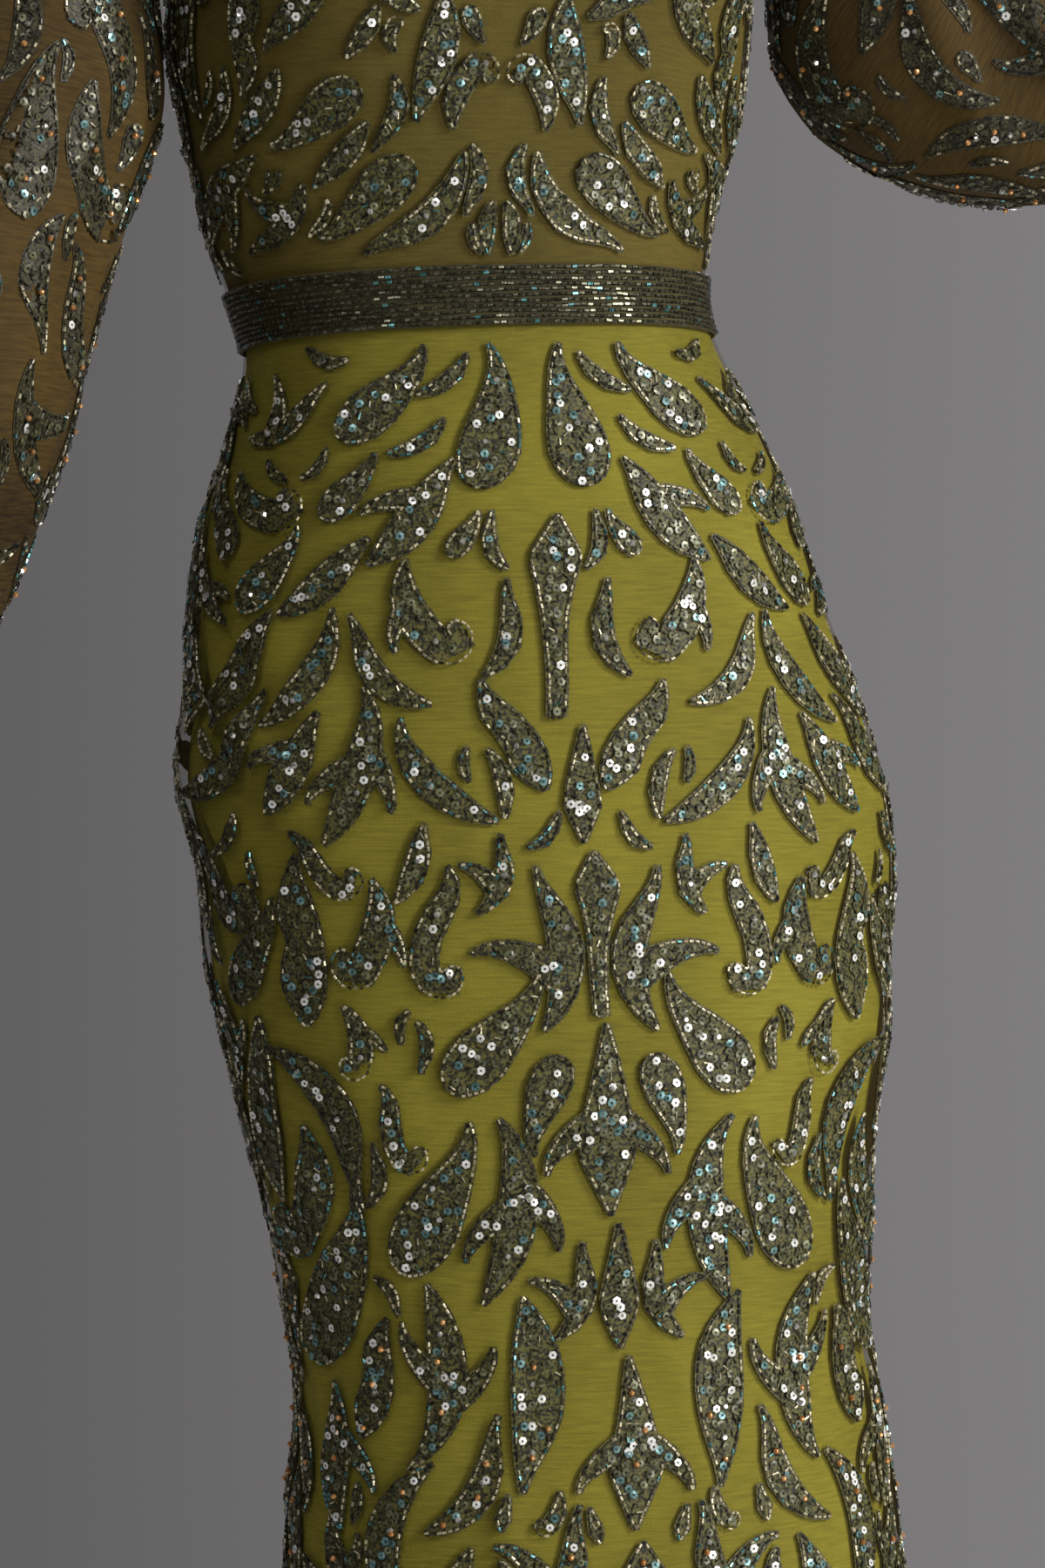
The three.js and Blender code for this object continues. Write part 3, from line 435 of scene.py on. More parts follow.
BEAD_KINDS = {
    # name: (dark, light, roughness, metallic, scale of the change in tone)
    # The motif grounds are thread work, darkened as painted shade between the beads; the sleeves' ground is a
    # darker copy with more painted shade
    "motif_thread_and_shade": ((0.014, 0.013, 0.005), (0.115, 0.105, 0.022), 0.6, 0, 700),
    "bugle_dark": ((0.014, 0.013, 0.008), (0.085, 0.08, 0.045), 0.3, 0.4, 400),
    "bugle_light": ((0.24, 0.21, 0.12), (0.66, 0.60, 0.42), 0.33, 0.3, 400),
    "bugle_grey": ((0.05, 0.05, 0.034), (0.15, 0.145, 0.10), 0.2, 0.7, 400),
    "bugle_blue": ((0.05, 0.17, 0.18), (0.20, 0.46, 0.48), 0.25, 0.7, 400),
    "sequin_silver": ((0.66, 0.68, 0.65), (0.95, 0.96, 0.94), 0.25, 0.2, 400),
    "sequin_grey": ((0.04, 0.042, 0.02), (0.15, 0.155, 0.085), 0.3, 0.2, 400),
    "sequin_teal": ((0.07, 0.15, 0.15), (0.22, 0.38, 0.39), 0.28, 0.5, 400),
    "crystal": ((0.45, 0.45, 0.42), (0.8, 0.8, 0.76), 0.08, 0.7, 400),
    "copper_bead": ((0.50, 0.20, 0.06), (0.85, 0.46, 0.19), 0.22, 0.6, 400),
    "zip_brass": ((0.22, 0.19, 0.10), (0.40, 0.35, 0.2), 0.3, 0.95, 900),
    "sleeve_motif_thread_and_shade": ((0.010, 0.009, 0.005), (0.062, 0.053, 0.018), 0.6, 0, 700)}
CLOTH = {name: cloth_material(name, *values) for name, values in CLOTHS.items()}
BEADS = [bead_material(name, *values) for name, values in BEAD_KINDS.items()]
SLOT = {material.name: i for i, material in enumerate(BEADS)}


# Cloth
def plain_torso(angle, height):
    return torso(angle, height, ())


LINING_GAP = 1.6
TORSO_GIRTH, SLEEVE_GIRTH, CUFF_GIRTH = 0.14, 0.1, 0.035  # metres of cloth to a radian, for the texture
HEM_WALL, HEM_TURNING, LINING_SHORTER = 2.2, 14, 6  # millimetres at the skirt's hem
KIND = {True: "net", False: "lining"}
SPANS = {"front": (-HALF_PI, HALF_PI), "back_left": (HALF_PI, PI), "back_right": (PI, 3 * HALF_PI)}


def lining_depth(angle, height):
    """How far the lining hangs inside the net: most at the wearer's left thigh and right hip."""
    left = np.maximum(np.sin(angle), 0) ** 6 * np.exp(-(((height + 430) / 110) ** 2))
    right = np.maximum(-np.sin(angle), 0) ** 6 * np.exp(-(((height + 215) / 80) ** 2))
    return LINING_GAP + 7 * left + 4 * right


def part_at_zip(points, angle, height):
    """Opens the back's middle edge to the zip's slot."""
    at_middle = (np.abs(np.abs(angle) - PI) < 1e-6) & (height > ZIP_END)
    side = 1 if 0 < angle.mean() < PI else -1
    points[..., 0] += side * ZIP_SLOT * at_middle
    return points


def skirt_piece(label, is_net):
    start, end = SPANS[label]
    columns = (89 if is_net else 65) if label == "front" else (45 if is_net else 33)
    rises = np.linspace(-0.15, -SKIRT, 150 if is_net else 110)
    angle, height = np.meshgrid(np.linspace(start, end, columns), rises)
    normals = torso_normal(angle, height)
    depth = 0 * height if is_net else lining_depth(angle, height)
    tuck = 0.5 * np.exp(-np.minimum(np.abs(angle - start), np.abs(angle - end)) * 150 / 1.5)
    points = part_at_zip(torso(angle, height) - normals * (depth + tuck)[..., None], angle, height)
    if not is_net:
        points[-1, :, 2] += LINING_SHORTER
    hem = points[-1:] - normals[-1:] * HEM_WALL + (0, 0, 0.4)
    turned_in = hem + (0, 0, HEM_TURNING) - normals[-1:]
    across = np.concatenate([angle, angle[-1:], angle[-1:]]) * TORSO_GIRTH
    up = np.concatenate([height, height[-1:] - 3, height[-1:] - 15]) * MM
    return cloth_piece(f"skirt_{label}_{KIND[is_net]}", np.concatenate([points, hem, turned_in]), across, up,
                       CLOTH["skirt_net" if is_net else "olive_lining"], f"skirt_{label}")


def bodice_half(side, is_front, is_net):
    """Grid of half a bodice piece: rows up the body, columns from the middle to the side."""
    column = np.linspace(0, QUARTER, 45 if is_net else 33)[None, :]
    rises = np.linspace(0.15, BUST_RISE, 26 if is_net else 20)[:, None]
    share = np.linspace(0, 1, 31 if is_net else 23)[1:, None]
    lift = top_lift(column, is_front) * share
    angle = np.concatenate([column / QUARTER * HALF_PI + 0 * rises, column_angle(column, share, lift)])
    height = np.concatenate([rises + 0 * column, BUST_RISE + YOKE_ARC * lift])
    angle = side * angle if is_front else PI - side * angle
    points = torso(angle, height)
    if not is_net:
        points = points - torso_normal(angle, height) * LINING_GAP
    return part_at_zip(points, angle, height), angle, height


def bodice_piece(label, is_net):
    is_front = label == "front"
    sides = [-1, 1] if is_front else [1 if label == "back_left" else -1]
    parts = [bodice_half(side, is_front, is_net) for side in sides]
    points, angle, height = parts[0]
    if is_front:
        points, angle, height = (np.concatenate([a[:, ::-1], b[:, 1:]], 1) for a, b in zip(*parts))
    return cloth_piece(f"bodice_{label}_{KIND[is_net]}", points, angle * TORSO_GIRTH, height * MM,
                       CLOTH["skirt_net" if is_net else "bodice_lining_painted_shade"], f"bodice_{label}")


def sleeve_piece(side, label):
    turn, v = np.meshgrid(np.linspace(0, 2 * PI, 120, endpoint=False), np.linspace(0, 1, 96))
    return cloth_piece(f"sleeve_{label}_net", sleeve(side)(turn, v), turn * SLEEVE_GIRTH, v * 0.6,
                       CLOTH["sleeve_net_painted_light"], f"sleeve_{label}", True)


CUFF_PROFILE = [  # distance from the sleeve's end, inset from its ring: the outer face, then the inner one
    (0.4, 0.3), (1.5, 0.0), (4, 0.5), (14, 0.9), (29, 1.3), (44, 1.7), (54, 2.1), (57, 2.0), (58.4, 2.6),
    (57.6, 3.8), (50, 4.2), (30, 3.6), (1, 2.6)]
CUFF_FACE = np.array(CUFF_PROFILE[:8])


def cuff_ring(side):
    """Points of a cuff from turn, distance along it and inset from the sleeve's last ring."""
    middles = []
    for under_out, under_up, top_out, top_up, front, back, ahead in SLEEVES[side][0][-2:]:
        middles.append(np.array([side * (top_out + under_out) / 2, -ahead, (top_up + under_up) / 2]))
    across = unit(np.array([side * (top_out - under_out), 0, top_up - under_up]))
    along = np.cross(across, (0, 1, 0))
    if along @ (middles[1] - middles[0]) < 0:
        along = -along
    radius, depth = math.hypot(top_out - under_out, top_up - under_up) / 2, (front + back) / 2

    def ring(turn, distance, inset):
        reach = np.stack(np.broadcast_arrays(turn, distance, inset))
        turn, distance, inset = reach[0], reach[1], reach[2] - 0.25 * np.cos(9 * reach[0] + reach[1] * 0.06)
        return (middles[1] + along * distance[..., None]
                + across * ((radius - inset) * np.cos(turn))[..., None]
                - np.array([0, 1, 0]) * ((depth - inset) * np.sin(turn))[..., None])
    return ring


def cuff_surface(side):
    ring = cuff_ring(side)
    return lambda turn, distance: ring(turn, distance, np.interp(distance, *CUFF_FACE.T))


def cuff_piece(side, label):
    turn = np.linspace(0, 2 * PI, 96, endpoint=False)[None]
    distance, inset = np.array(CUFF_PROFILE).T[:, :, None]
    grid = cuff_ring(side)(turn, distance, inset)
    return cloth_piece(f"cuff_{label}_band", grid, turn * CUFF_GIRTH, distance * MM,
                       CLOTH["sleeve_net_painted_light"], f"cuff_{label}", True)


for label in SPANS:
    for is_net in (True, False):
        skirt_piece(label, is_net)
        bodice_piece(label, is_net)
for side, label in ((1, "left"), (-1, "right")):
    sleeve_piece(side, label)
    cuff_piece(side, label)

# Embroidery chart

# A form's axis turns by bend over its length, by curl near its root and by tail near its tip (degrees).
# Its half widths are given at eleven places from root to tip, closer together at the ends, in hundredths of
# the length.
LOZENGE = (0, 1.2, 4.4, 9.5, 15.5, 12, 8.4, 5.2, 2.6, 0.8, 0)
SPEAR = (3.6, 3.6, 3.8, 4, 4.4, 5.6, 9, 13.5, 6.4, 1.7, 0)
FORMS = {
    # name: (bend, curl, tail, left side, right side)
    "leaf": (40, 0, -26, (0, 1.2, 4.5, 9, 12, 12.5, 10.5, 6.6, 2.8, 0.8, 0),
             (0, 1, 4, 8, 11, 12, 10.5, 7, 3, 0.9, 0)),
    "blade": (52, 0, 22, (0, 1, 3.4, 6.6, 9, 9.6, 8.4, 5.4, 2.4, 0.7, 0),
              (0, 0.8, 3, 5.6, 7.6, 8.2, 7.2, 4.8, 2.2, 0.7, 0)),
    "drop": (20, 0, 34, (0, 7.5, 13.5, 17.5, 17.5, 13.5, 9, 5.2, 2.4, 0.8, 0),
             (0, 7.5, 13.5, 17.5, 18, 15, 10.5, 6, 2.6, 0.8, 0)),
    "comma": (60, -225, 10, (0, 7, 11.5, 13.5, 12.5, 13, 12.5, 9, 4.2, 1.2, 0),
              (0, 7, 12, 13.5, 12.5, 10.5, 8.5, 6, 3, 0.9, 0)),
    "sickle": (84, 0, -46, (0, 1, 4, 8, 11.5, 12.5, 9.5, 5, 2, 0.7, 0),
               (0, 0.6, 2, 3.6, 5, 5.6, 5, 3.2, 1.5, 0.5, 0)),
    "scroll": (-92, 190, 96, (0, 6.5, 10.5, 10.5, 8.5, 8.5, 8.5, 6.4, 3.4, 1, 0),
               (0, 6.5, 10.5, 10.5, 8.5, 7.6, 7, 5, 2.8, 0.9, 0)),
    "thorn": (44, 0, 26, (17, 17, 16.5, 15.5, 13.5, 11, 8, 5, 2.2, 0.7, 0),
              (17, 17, 16, 14.5, 12, 9.5, 7, 4.2, 2, 0.6, 0)),
    "pinched": (-24, 0, 40, (0, 3, 8, 13.5, 14, 7.5, 13, 9.6, 4.2, 1.1, 0),
                (0, 3, 8, 12.5, 14, 13, 10, 6.4, 2.9, 0.9, 0)),
    "lozenge": (0, 0, 0, LOZENGE, LOZENGE),
    "spear": (0, 0, 0, SPEAR, SPEAR)}
STRAIGHT = ("lozenge", "spear")  # the forms with straight edges

# Motifs of more than one form: the first one's name, then those that grow from its axis, each with its form,
# share of the axis, heading, size, and 1 or -1 for mirrored.
GROWN = {
    "barbed": ("leaf", ("thorn", 0.62, 134, 0.5, 1)),
    "winged": ("blade", ("thorn", 0.52, 140, 0.4, 1), ("thorn", 0.62, -138, 0.4, -1)),
    "hooked": ("comma", ("thorn", 0.66, -132, 0.42, -1)),
    "trefoil": ("leaf", ("blade", 0.08, 68, 0.62, -1), ("blade", 0.08, -58, 0.62, 1)),
    "forked": ("sickle", ("thorn", 0.34, 66, 0.56, 1)),
    "crown": ("lozenge", ("thorn", 0.5, 128, 0.46, 1), ("thorn", 0.5, -128, 0.46, -1))}
MOTIFS = {name: [(name, 0, 0, 1, 1)] for name in FORMS if name != "thorn"}
for name, (base, *grown) in GROWN.items():
    MOTIFS[name] = [(base, 0, 0, 0.9 if name == "trefoil" else 1, 1), *grown]
KINDS = list(MOTIFS)
STATIONS = (1 - np.cos(np.linspace(0, PI, 11))) / 2
FINE = (1 - np.cos(np.linspace(0, PI, 49))) / 2


def turned(points, heading):
    """Chart points turned so that the tip points along heading: 0 is up the cloth, positive towards +u."""
    c, s = np.cos(heading), np.sin(heading)
    x, y = points[..., 0], points[..., 1]
    return np.stack([x * c + y * s, y * c - x * s], -1)


def form_shape(form):
    """Axis points, normals and half widths of a form one unit long."""
    bend, curl, tail, *sides = FORMS[form]
    turn = (math.radians(bend) * (FINE - 0.5) + math.radians(curl) * np.maximum(0, 1 - FINE / 0.38) ** 2
            + math.radians(tail) * np.maximum(0, (FINE - 0.62) / 0.38) ** 2)
    middle = (turn[1:] + turn[:-1]) / 2
    moves = np.stack([np.sin(middle), np.cos(middle)], -1) * np.diff(FINE)[:, None]
    axis = np.concatenate([[(0.0, 0.0)], np.cumsum(moves, 0)])
    bending = np.gradient(turn, FINE)
    widths = []
    for sign, row in zip((-1, 1), sides):
        row = np.array(row) / 100
        wide = np.interp(FINE, STATIONS, row) if form in STRAIGHT else curve(STATIONS, row, FINE)
        inner = np.minimum(wide, 0.72 / np.maximum(np.abs(bending), 1e-6))
        widths.append(np.maximum(np.where(sign * bending > 0, inner, wide), 0))
    return axis, np.stack([np.cos(turn), -np.sin(turn)], -1), *widths


def outline_of(shape):
    axis, normal, left, right = shape
    return np.concatenate([axis - normal * left[:, None], (axis + normal * right[:, None])[::-1]])


def motif_shapes(parts):
    """The forms of one motif, the later ones growing from the first one's axis, round a common middle."""
    shapes = []
    for form, at, heading, size, side in parts:
        axis, normal, left, right = form_shape(form)
        mirror = np.array([side, 1])
        root = interp_points(at, FINE, shapes[0][0]) if shapes else np.zeros(2)
        way = math.radians(heading)
        shapes.append((turned(axis * mirror, way) * size + root, turned(normal * mirror, way), left * size,
                       right * size))
    rim = np.concatenate([outline_of(shape) for shape in shapes])
    middle = (rim.min(0) + rim.max(0)) / 2
    return [(shape[0] - middle, *shape[1:]) for shape in shapes]


CIRCLES, RIM_POINTS = 13, 14
MOTIF_REACH = 130  # circles further away in height can't touch a motif
BELT_SPAN = (-18, 17)  # the rises where the belt lies, kept free of motifs


def footprint(shapes):
    """Circles that cover a motif: across, up and radius."""
    rows = []
    for n, (axis, normal, left, right) in enumerate(shapes):
        at = np.searchsorted(FINE, [0.05, 0.2, 0.36, 0.52, 0.68, 0.82, 0.95] if n == 0 else [0.35, 0.65, 0.93])
        centre = axis[at] + normal[at] * ((right - left) / 2)[at, None]
        rows.append(np.concatenate([centre, ((left + right)[at] / 2)[:, None]], 1))
    rows = np.concatenate(rows)
    return rows[np.arange(CIRCLES) % len(rows)]


def rim_points(shapes):
    rim = np.concatenate([outline_of(shape) for shape in shapes])
    return rim[np.linspace(0, len(rim) - 1, RIM_POINTS, dtype=int)]


SHAPES = [motif_shapes(parts) for parts in MOTIFS.values()]
FOOTPRINTS = np.stack([footprint(shapes) for shapes in SHAPES])
RIMS = np.stack([rim_points(shapes) for shapes in SHAPES])


class Field:
    """A cloth surface that carries motifs."""

    def __init__(self, surface, step_u, step_v, flip=1):
        self.surface, self.step_u, self.step_v, self.flip = surface, step_u, step_v, flip

    def frame(self, u, v):
        """Matrix from millimetres on the cloth to the surface's own numbers."""
        a, b = tangents(self.surface, u, v, self.step_u, self.step_v)
        x = unit(a)
        bx = (b * x).sum(-1)
        y = unit(b - x * bx[..., None])
        ax, by = np.linalg.norm(a, axis=-1), (b * y).sum(-1)
        rows = [np.stack([1 / ax, -bx / (ax * by)], -1), np.stack([0 * ax, 1 / by], -1)]
        return np.stack(rows, -2)

    def normal(self, u, v):
        a, b = tangents(self.surface, u, v, self.step_u * 0.12, self.step_v * 0.12)
        return unit(np.cross(a, b)) * self.flip


def scatter(field, candidates, taken, inside, gap):
    """Keeps each candidate that stays clear of those kept before it. A candidate is u, v, heading, kind,
    length, side (1 or -1 for a mirrored chart) and whether its mirror image, kept with it, belongs to it."""
    kept = []
    u, v, heading, kind, length, side, paired = candidates.T
    kind = kind.astype(int)
    circles = FOOTPRINTS[kind]
    local = turned(np.concatenate([circles[..., :2], RIMS[kind]], 1), heading[:, None]) * length[:, None, None]
    radii = circles[..., 2] * length[:, None] + gap / 2
    covers, clear = {}, {}
    for way in (1, -1):
        spots = local.copy()
        spots[..., 0] *= (side * way)[:, None]
        delta = np.einsum("nij,nkj->nki", field.frame(u * way, v), spots)
        uu, vv = (u * way)[:, None] + delta[..., 0], v[:, None] + delta[..., 1]
        points = field.surface(uu[:, :CIRCLES], vv[:, :CIRCLES])
        covers[way] = np.concatenate([points, radii[..., None]], -1)
        clear[way] = inside(uu[:, CIRCLES:], vv[:, CIRCLES:]).all(1)

    def overlap(one, two):
        far = np.linalg.norm(one[:, None, :3] - two[None, :, :3], axis=-1)
        return far.size > 0 and (far - one[:, None, 3] - two[None, :, 3]).min() < 0

    for i in range(len(u)):
        ways = (1, -1) if paired[i] else (1,)
        if not all(clear[way][i] for way in ways):
            continue
        mine = np.concatenate([covers[way][i] for way in ways])
        if overlap(mine, taken[np.abs(taken[:, 2] - mine[:, 2].mean()) < MOTIF_REACH]):
            continue
        if paired[i] and overlap(mine[:CIRCLES], mine[CIRCLES:]):
            continue
        taken = np.concatenate([taken, mine])
        kept += [(u[i] * way, v[i], heading[i], kind[i], length[i], side[i] * way) for way in ways]
    return kept, taken


def inside_torso(angle, height):
    """Where the embroidery may go: clear of the belt, the hem, the neckline, the armholes and the zip."""
    turn = np.abs(np.arctan2(np.sin(angle), np.cos(angle)))
    is_front = turn < HALF_PI
    near = np.where(is_front, turn, PI - turn)
    lift = np.maximum(height - BUST_RISE, 0) / YOKE_ARC
    column = np.clip(near / NECK_ANGLE, 0, 1) * NECK_COLUMNS
    neck = np.where(is_front, *(top_lift(column, front) for front in (True, False)))
    side = side_limit(lift + 0.03) - np.where(lift > UNDERARM_LIFT, 0.05, -1)
    clear_of_belt = (height < BELT_SPAN[0]) | (height > BELT_SPAN[1])
    at_zip = (PI - turn < 0.07) & (height > ZIP_END - 12)
    return (lift < neck - 0.06) & (near < side) & clear_of_belt & (height > -SKIRT + 14) & ~at_zip


def headings(rng, angle, height, mix, reach):
    """The way each motif's tip points, its kind and side. Tips point up and in to the middle below the belt,
    down and in above it. Commas and scrolls turn the other way, and some motifs are upside down."""
    kind = choose(rng, mix, len(height))
    fan = np.minimum(1, 1.3 * np.abs(np.sin(2 * angle)) ** 0.6) * np.sign(np.sin(2 * angle))
    tilt = np.radians(9 + 48 * np.exp(-np.abs(height) / reach)) * fan
    tilt = tilt + np.radians(rng.normal(0, 15, len(height)))
    heading = np.where(height < 0, -tilt, PI + tilt)
    is_comma = np.isin(kind, [KINDS.index(name) for name in ("comma", "scroll", "hooked")])
    heading = np.where(is_comma, -heading * 0.95, heading)
    turned_over = rng.uniform(size=len(height)) < np.where(np.abs(height) > 330, 0.35, 0.1)
    side = np.where(is_comma, 1, rng.choice([-1, 1], len(height)))
    return heading + np.where(turned_over, PI, 0), kind, side


def choose(rng, mix, count):
    return rng.choice(len(mix), count, p=np.array(mix) / sum(mix))


def torso_rows(rng, high, low, row_pitch, column_pitch, length, mix, reach):
    """Staggered rows on the wearer's left half, with several kinds and sizes to try at each place."""
    found = []
    way, around = np.sign(low - high), np.linspace(0, PI, 60)
    for row in range(math.ceil(abs(low - high) / row_pitch)):
        level = high + way * row_pitch * row
        arc = arc_lengths(plain_torso(around, np.full(60, level)))
        for place in np.arange(32 + column_pitch / 2 * (row % 2), arc[-1] - 16, column_pitch):
            for share in (1.15, 1, 0.87, 0.74, 0.62, 0.5):
                for _ in range(5):
                    found.append((np.interp(place + rng.normal(0, 4), arc, around), level + rng.normal(0, 6),
                                  share * length))
    angle, height, size = np.array(found).T
    heading, kind, side = headings(rng, angle, height, mix, reach)
    return np.stack([angle, height, heading, kind, size, side, np.ones(len(found))], -1)


def torso_infill(rng, count, low, high, sizes, mix, reach):
    """Random places between the rows."""
    angle, height = rng.uniform(0.03, PI - 0.03, count), rng.uniform(low, high, count)
    heading, kind, side = headings(rng, angle, height, mix, reach)
    size = np.sort(rng.uniform(*sizes, count))[::-1]
    return np.stack([angle, height, heading, kind, size, side, np.ones(count)], -1)


def axis_row(angle, start, end, first=1):
    """A chain of symmetrical motifs down the middle."""
    rows, height, k = [], start, first
    while height - CHAIN[k % len(CHAIN)][1] > end:
        name, length = CHAIN[k % len(CHAIN)]
        rows.append((angle, height - length / 2, 0.0 if start < 0 else PI, KINDS.index(name), length, 1, 0))
        height -= length + 3
        k += 1
    return rows


# The fan at the belt, on the wearer's left: across, away from the waist, the tip's tilt inwards, kind, length
FAN = [(18, 58, 12, "drop", 72), (42, 54, 29, "barbed", 80), (66, 46, 50, "drop", 62),
       (92, 44, 64, "leaf", 60), (112, 46, 58, "forked", 54), (30, 112, 14, "leaf", 66),
       (56, 100, 38, "barbed", 66), (84, 86, 56, "drop", 58), (112, 92, 60, "comma", 56),
       (20, 158, 8, "sickle", 50), (52, 152, 30, "hooked", 62), (84, 134, 50, "leaf", 58)]
FAN_RADIUS = 132  # of the body's sides, to turn a place across into an angle


def fan_rows(way, size):
    """The fan below the belt (way -1) or above it (way 1)."""
    rows = []
    for across, away, tilt, kind, length in FAN:
        angle = math.asin(min(across * size / FAN_RADIUS, 0.98))
        heading = math.radians(-tilt) if way < 0 else PI + math.radians(tilt)
        side = -1 if kind in ("comma", "hooked") else 1
        rows.append((angle, way * away * size, heading, KINDS.index(kind), length * size, side * -way, 1))
    return rows


RNG = np.random.default_rng(411)
TORSO = Field(torso, 0.04, 8.0)
PLAIN = Field(plain_torso, 0.04, 8.0)
CHAIN = [("crown", 82), ("spear", 96), ("lozenge", 56), ("spear", 78), ("crown", 92), ("lozenge", 60)]
CHAIN_END = -SKIRT + 20
middle_rows = (fan_rows(-1, 1) + fan_rows(1, 0.95) + axis_row(0.0, -104, CHAIN_END)
               + axis_row(PI, ZIP_END - 30, CHAIN_END)
               + axis_row(0.0, BUST_RISE + YOKE_ARC * NECK_LIFT[True] - 14, 90, 2))
torso_motifs, taken = scatter(PLAIN, np.array(middle_rows), np.zeros((0, 4)), inside_torso, 3)
# Shares of the kinds, in the order of MOTIFS
MIX = (7, 6, 14, 15, 7, 6, 8, 0, 0, 12, 9, 6, 4, 9, 0)
SMALL_MIX = (22, 22, 18, 6, 15, 2, 6, 5, 0, 3, 0, 0, 0, 2, 0)
LOW_RNG = np.random.default_rng(97)
for candidates, gap in (
        (torso_rows(RNG, -48, -640, 42, 35, 82, MIX, 170), 2.5),
        (torso_rows(RNG, 46, 420, 38, 33, 80, MIX, 120), 2.5),
        (torso_rows(RNG, -690, -SKIRT + 30, 72, 58, 100, MIX, 300), 6),
        (torso_infill(RNG, 4200, -650, -24, (17, 54), SMALL_MIX, 170), 3.2),
        (torso_infill(RNG, 2200, 24, 430, (16, 44), SMALL_MIX, 120), 3),
        (torso_infill(RNG, 900, -SKIRT + 20, -650, (34, 62), SMALL_MIX, 300), 8),
        (torso_infill(LOW_RNG, 1500, 24, 62, (15, 40), SMALL_MIX, 120), 2)):
    found, taken = scatter(PLAIN, candidates, taken, inside_torso, gap)
    torso_motifs += found


def tube_field(surface, step_v, middle):
    """A field round a sleeve or cuff, with its normals outward."""
    field = Field(surface, 0.06, step_v)
    outward = field.normal(np.array([HALF_PI]), np.array([middle]))[0]
    field.flip = 1 if outward[1] < 0 else -1
    return field


def tube_motifs(field, spots, mix, gap, placed, reach, jitter, heading_spread):
    """Motifs at or near the given places (turn, distance, size), pointing along the tube."""
    u, v, size = np.array(spots).T
    tries = len(u)
    heading = np.where(RNG.uniform(size=tries) < 0.5, 0, PI)
    heading = heading + np.radians(RNG.normal(0, heading_spread, tries))
    candidates = np.stack([u + RNG.normal(0, 0.04, tries), v + RNG.normal(0, jitter, tries), heading,
                           choose(RNG, mix, tries), size, RNG.choice([-1, 1], tries), np.zeros(tries)], -1)
    return scatter(field, candidates, placed, lambda u, v: (v > reach[0]) & (v < reach[1]), gap)


SLEEVE_MOTIF = 78
SLEEVE_ROWS = list(zip(np.arange(0.11, 0.93, 0.084), (9, 11, 12, 13, 13, 13, 12, 11, 9, 8)))
SLEEVE_FIELDS, CUFF_FIELDS, sleeve_motifs, cuff_motifs = {}, {}, {}, {}
for side in (1, -1):
    SLEEVE_FIELDS[side] = tube_field(sleeve(side), 0.02, 0.5)
    CUFF_FIELDS[side] = tube_field(cuff_surface(side), 2.0, 30.0)
    sites = [((j + 0.5 * (row % 2)) / columns * 2 * PI, v, share * SLEEVE_MOTIF)
             for row, (v, columns) in enumerate(SLEEVE_ROWS)
             for j in range(columns) for share in (1.1, 1, 0.88, 0.76, 0.64, 0.52) for _ in range(3)]
    extra = [(RNG.uniform(0, 2 * PI), RNG.uniform(0.03, 0.97), size) for size in np.linspace(50, 18, 2200)]
    head = [(RNG.uniform(0, 2 * PI), RNG.uniform(0.02, 0.09), size) for size in np.linspace(34, 15, 900)]
    placed, sleeve_motifs[side] = np.zeros((0, 4)), []
    for spots, mix, gap in ((sites, MIX, 3.5), (extra, SMALL_MIX, 4), (head, SMALL_MIX, 3)):
        found, placed = tube_motifs(SLEEVE_FIELDS[side], spots, mix, gap, placed, (0.006, 0.985), 0.01, 22)
        sleeve_motifs[side] += found
    spots = [(RNG.uniform(0, 2 * PI), RNG.uniform(16, 42), size) for size in np.linspace(34, 15, 500)]
    cuff_motifs[side], _ = tube_motifs(CUFF_FIELDS[side], spots, SMALL_MIX, 3, np.zeros((0, 4)), (10, 48),
                                       1, 12)


# Beads
def resample(points, pitch):
    """Points at even steps along a closed outline."""
    loop = np.concatenate([points, points[:1]])
    length = arc_lengths(loop)
    count = max(8, int(round(length[-1] / pitch)))
    return interp_points(np.arange(count + 1) / count * length[-1], length, loop)


def within(points, outline):
    """Which points lie inside a closed outline, by counting the edges they see to one side."""
    ax, ay = outline.T
    bx, by = np.roll(outline, -1, 0).T
    x, y = points[:, :1], points[:, 1:]
    crosses = (ay > y) != (by > y)
    at = ax + (y - ay) / np.where(by == ay, 1, by - ay) * (bx - ax)
    return (crosses & (x < at)).sum(1) % 2 == 1


def spread(shape, length, count, spacing, rim):
    """Random places inside a motif, at least spacing apart and rim millimetres from its outline."""
    axis, normal, left, right = shape
    wide = left + right
    weight = np.concatenate([[0], np.cumsum((wide[1:] + wide[:-1]) / 2 * np.diff(FINE))])
    tries = count * 5 + 10
    t = np.interp(RNG.uniform(0, weight[-1], tries), weight, FINE)
    across = RNG.uniform(-1, 1, tries)
    l, r = (np.maximum(np.interp(t, FINE, w) * length - rim, 0) for w in (left, right))
    spots = (interp_points(t, FINE, axis) * length
             + interp_points(t, FINE, normal) * np.where(across > 0, across * r, across * l)[:, None])
    chosen = np.zeros((0, 2))
    for spot in spots[(l + r) > 0.8]:
        if len(chosen) >= count:
            break
        if not len(chosen) or np.min(((chosen - spot) ** 2).sum(1)) > spacing ** 2:
            chosen = np.concatenate([chosen, spot[None]])
    return chosen


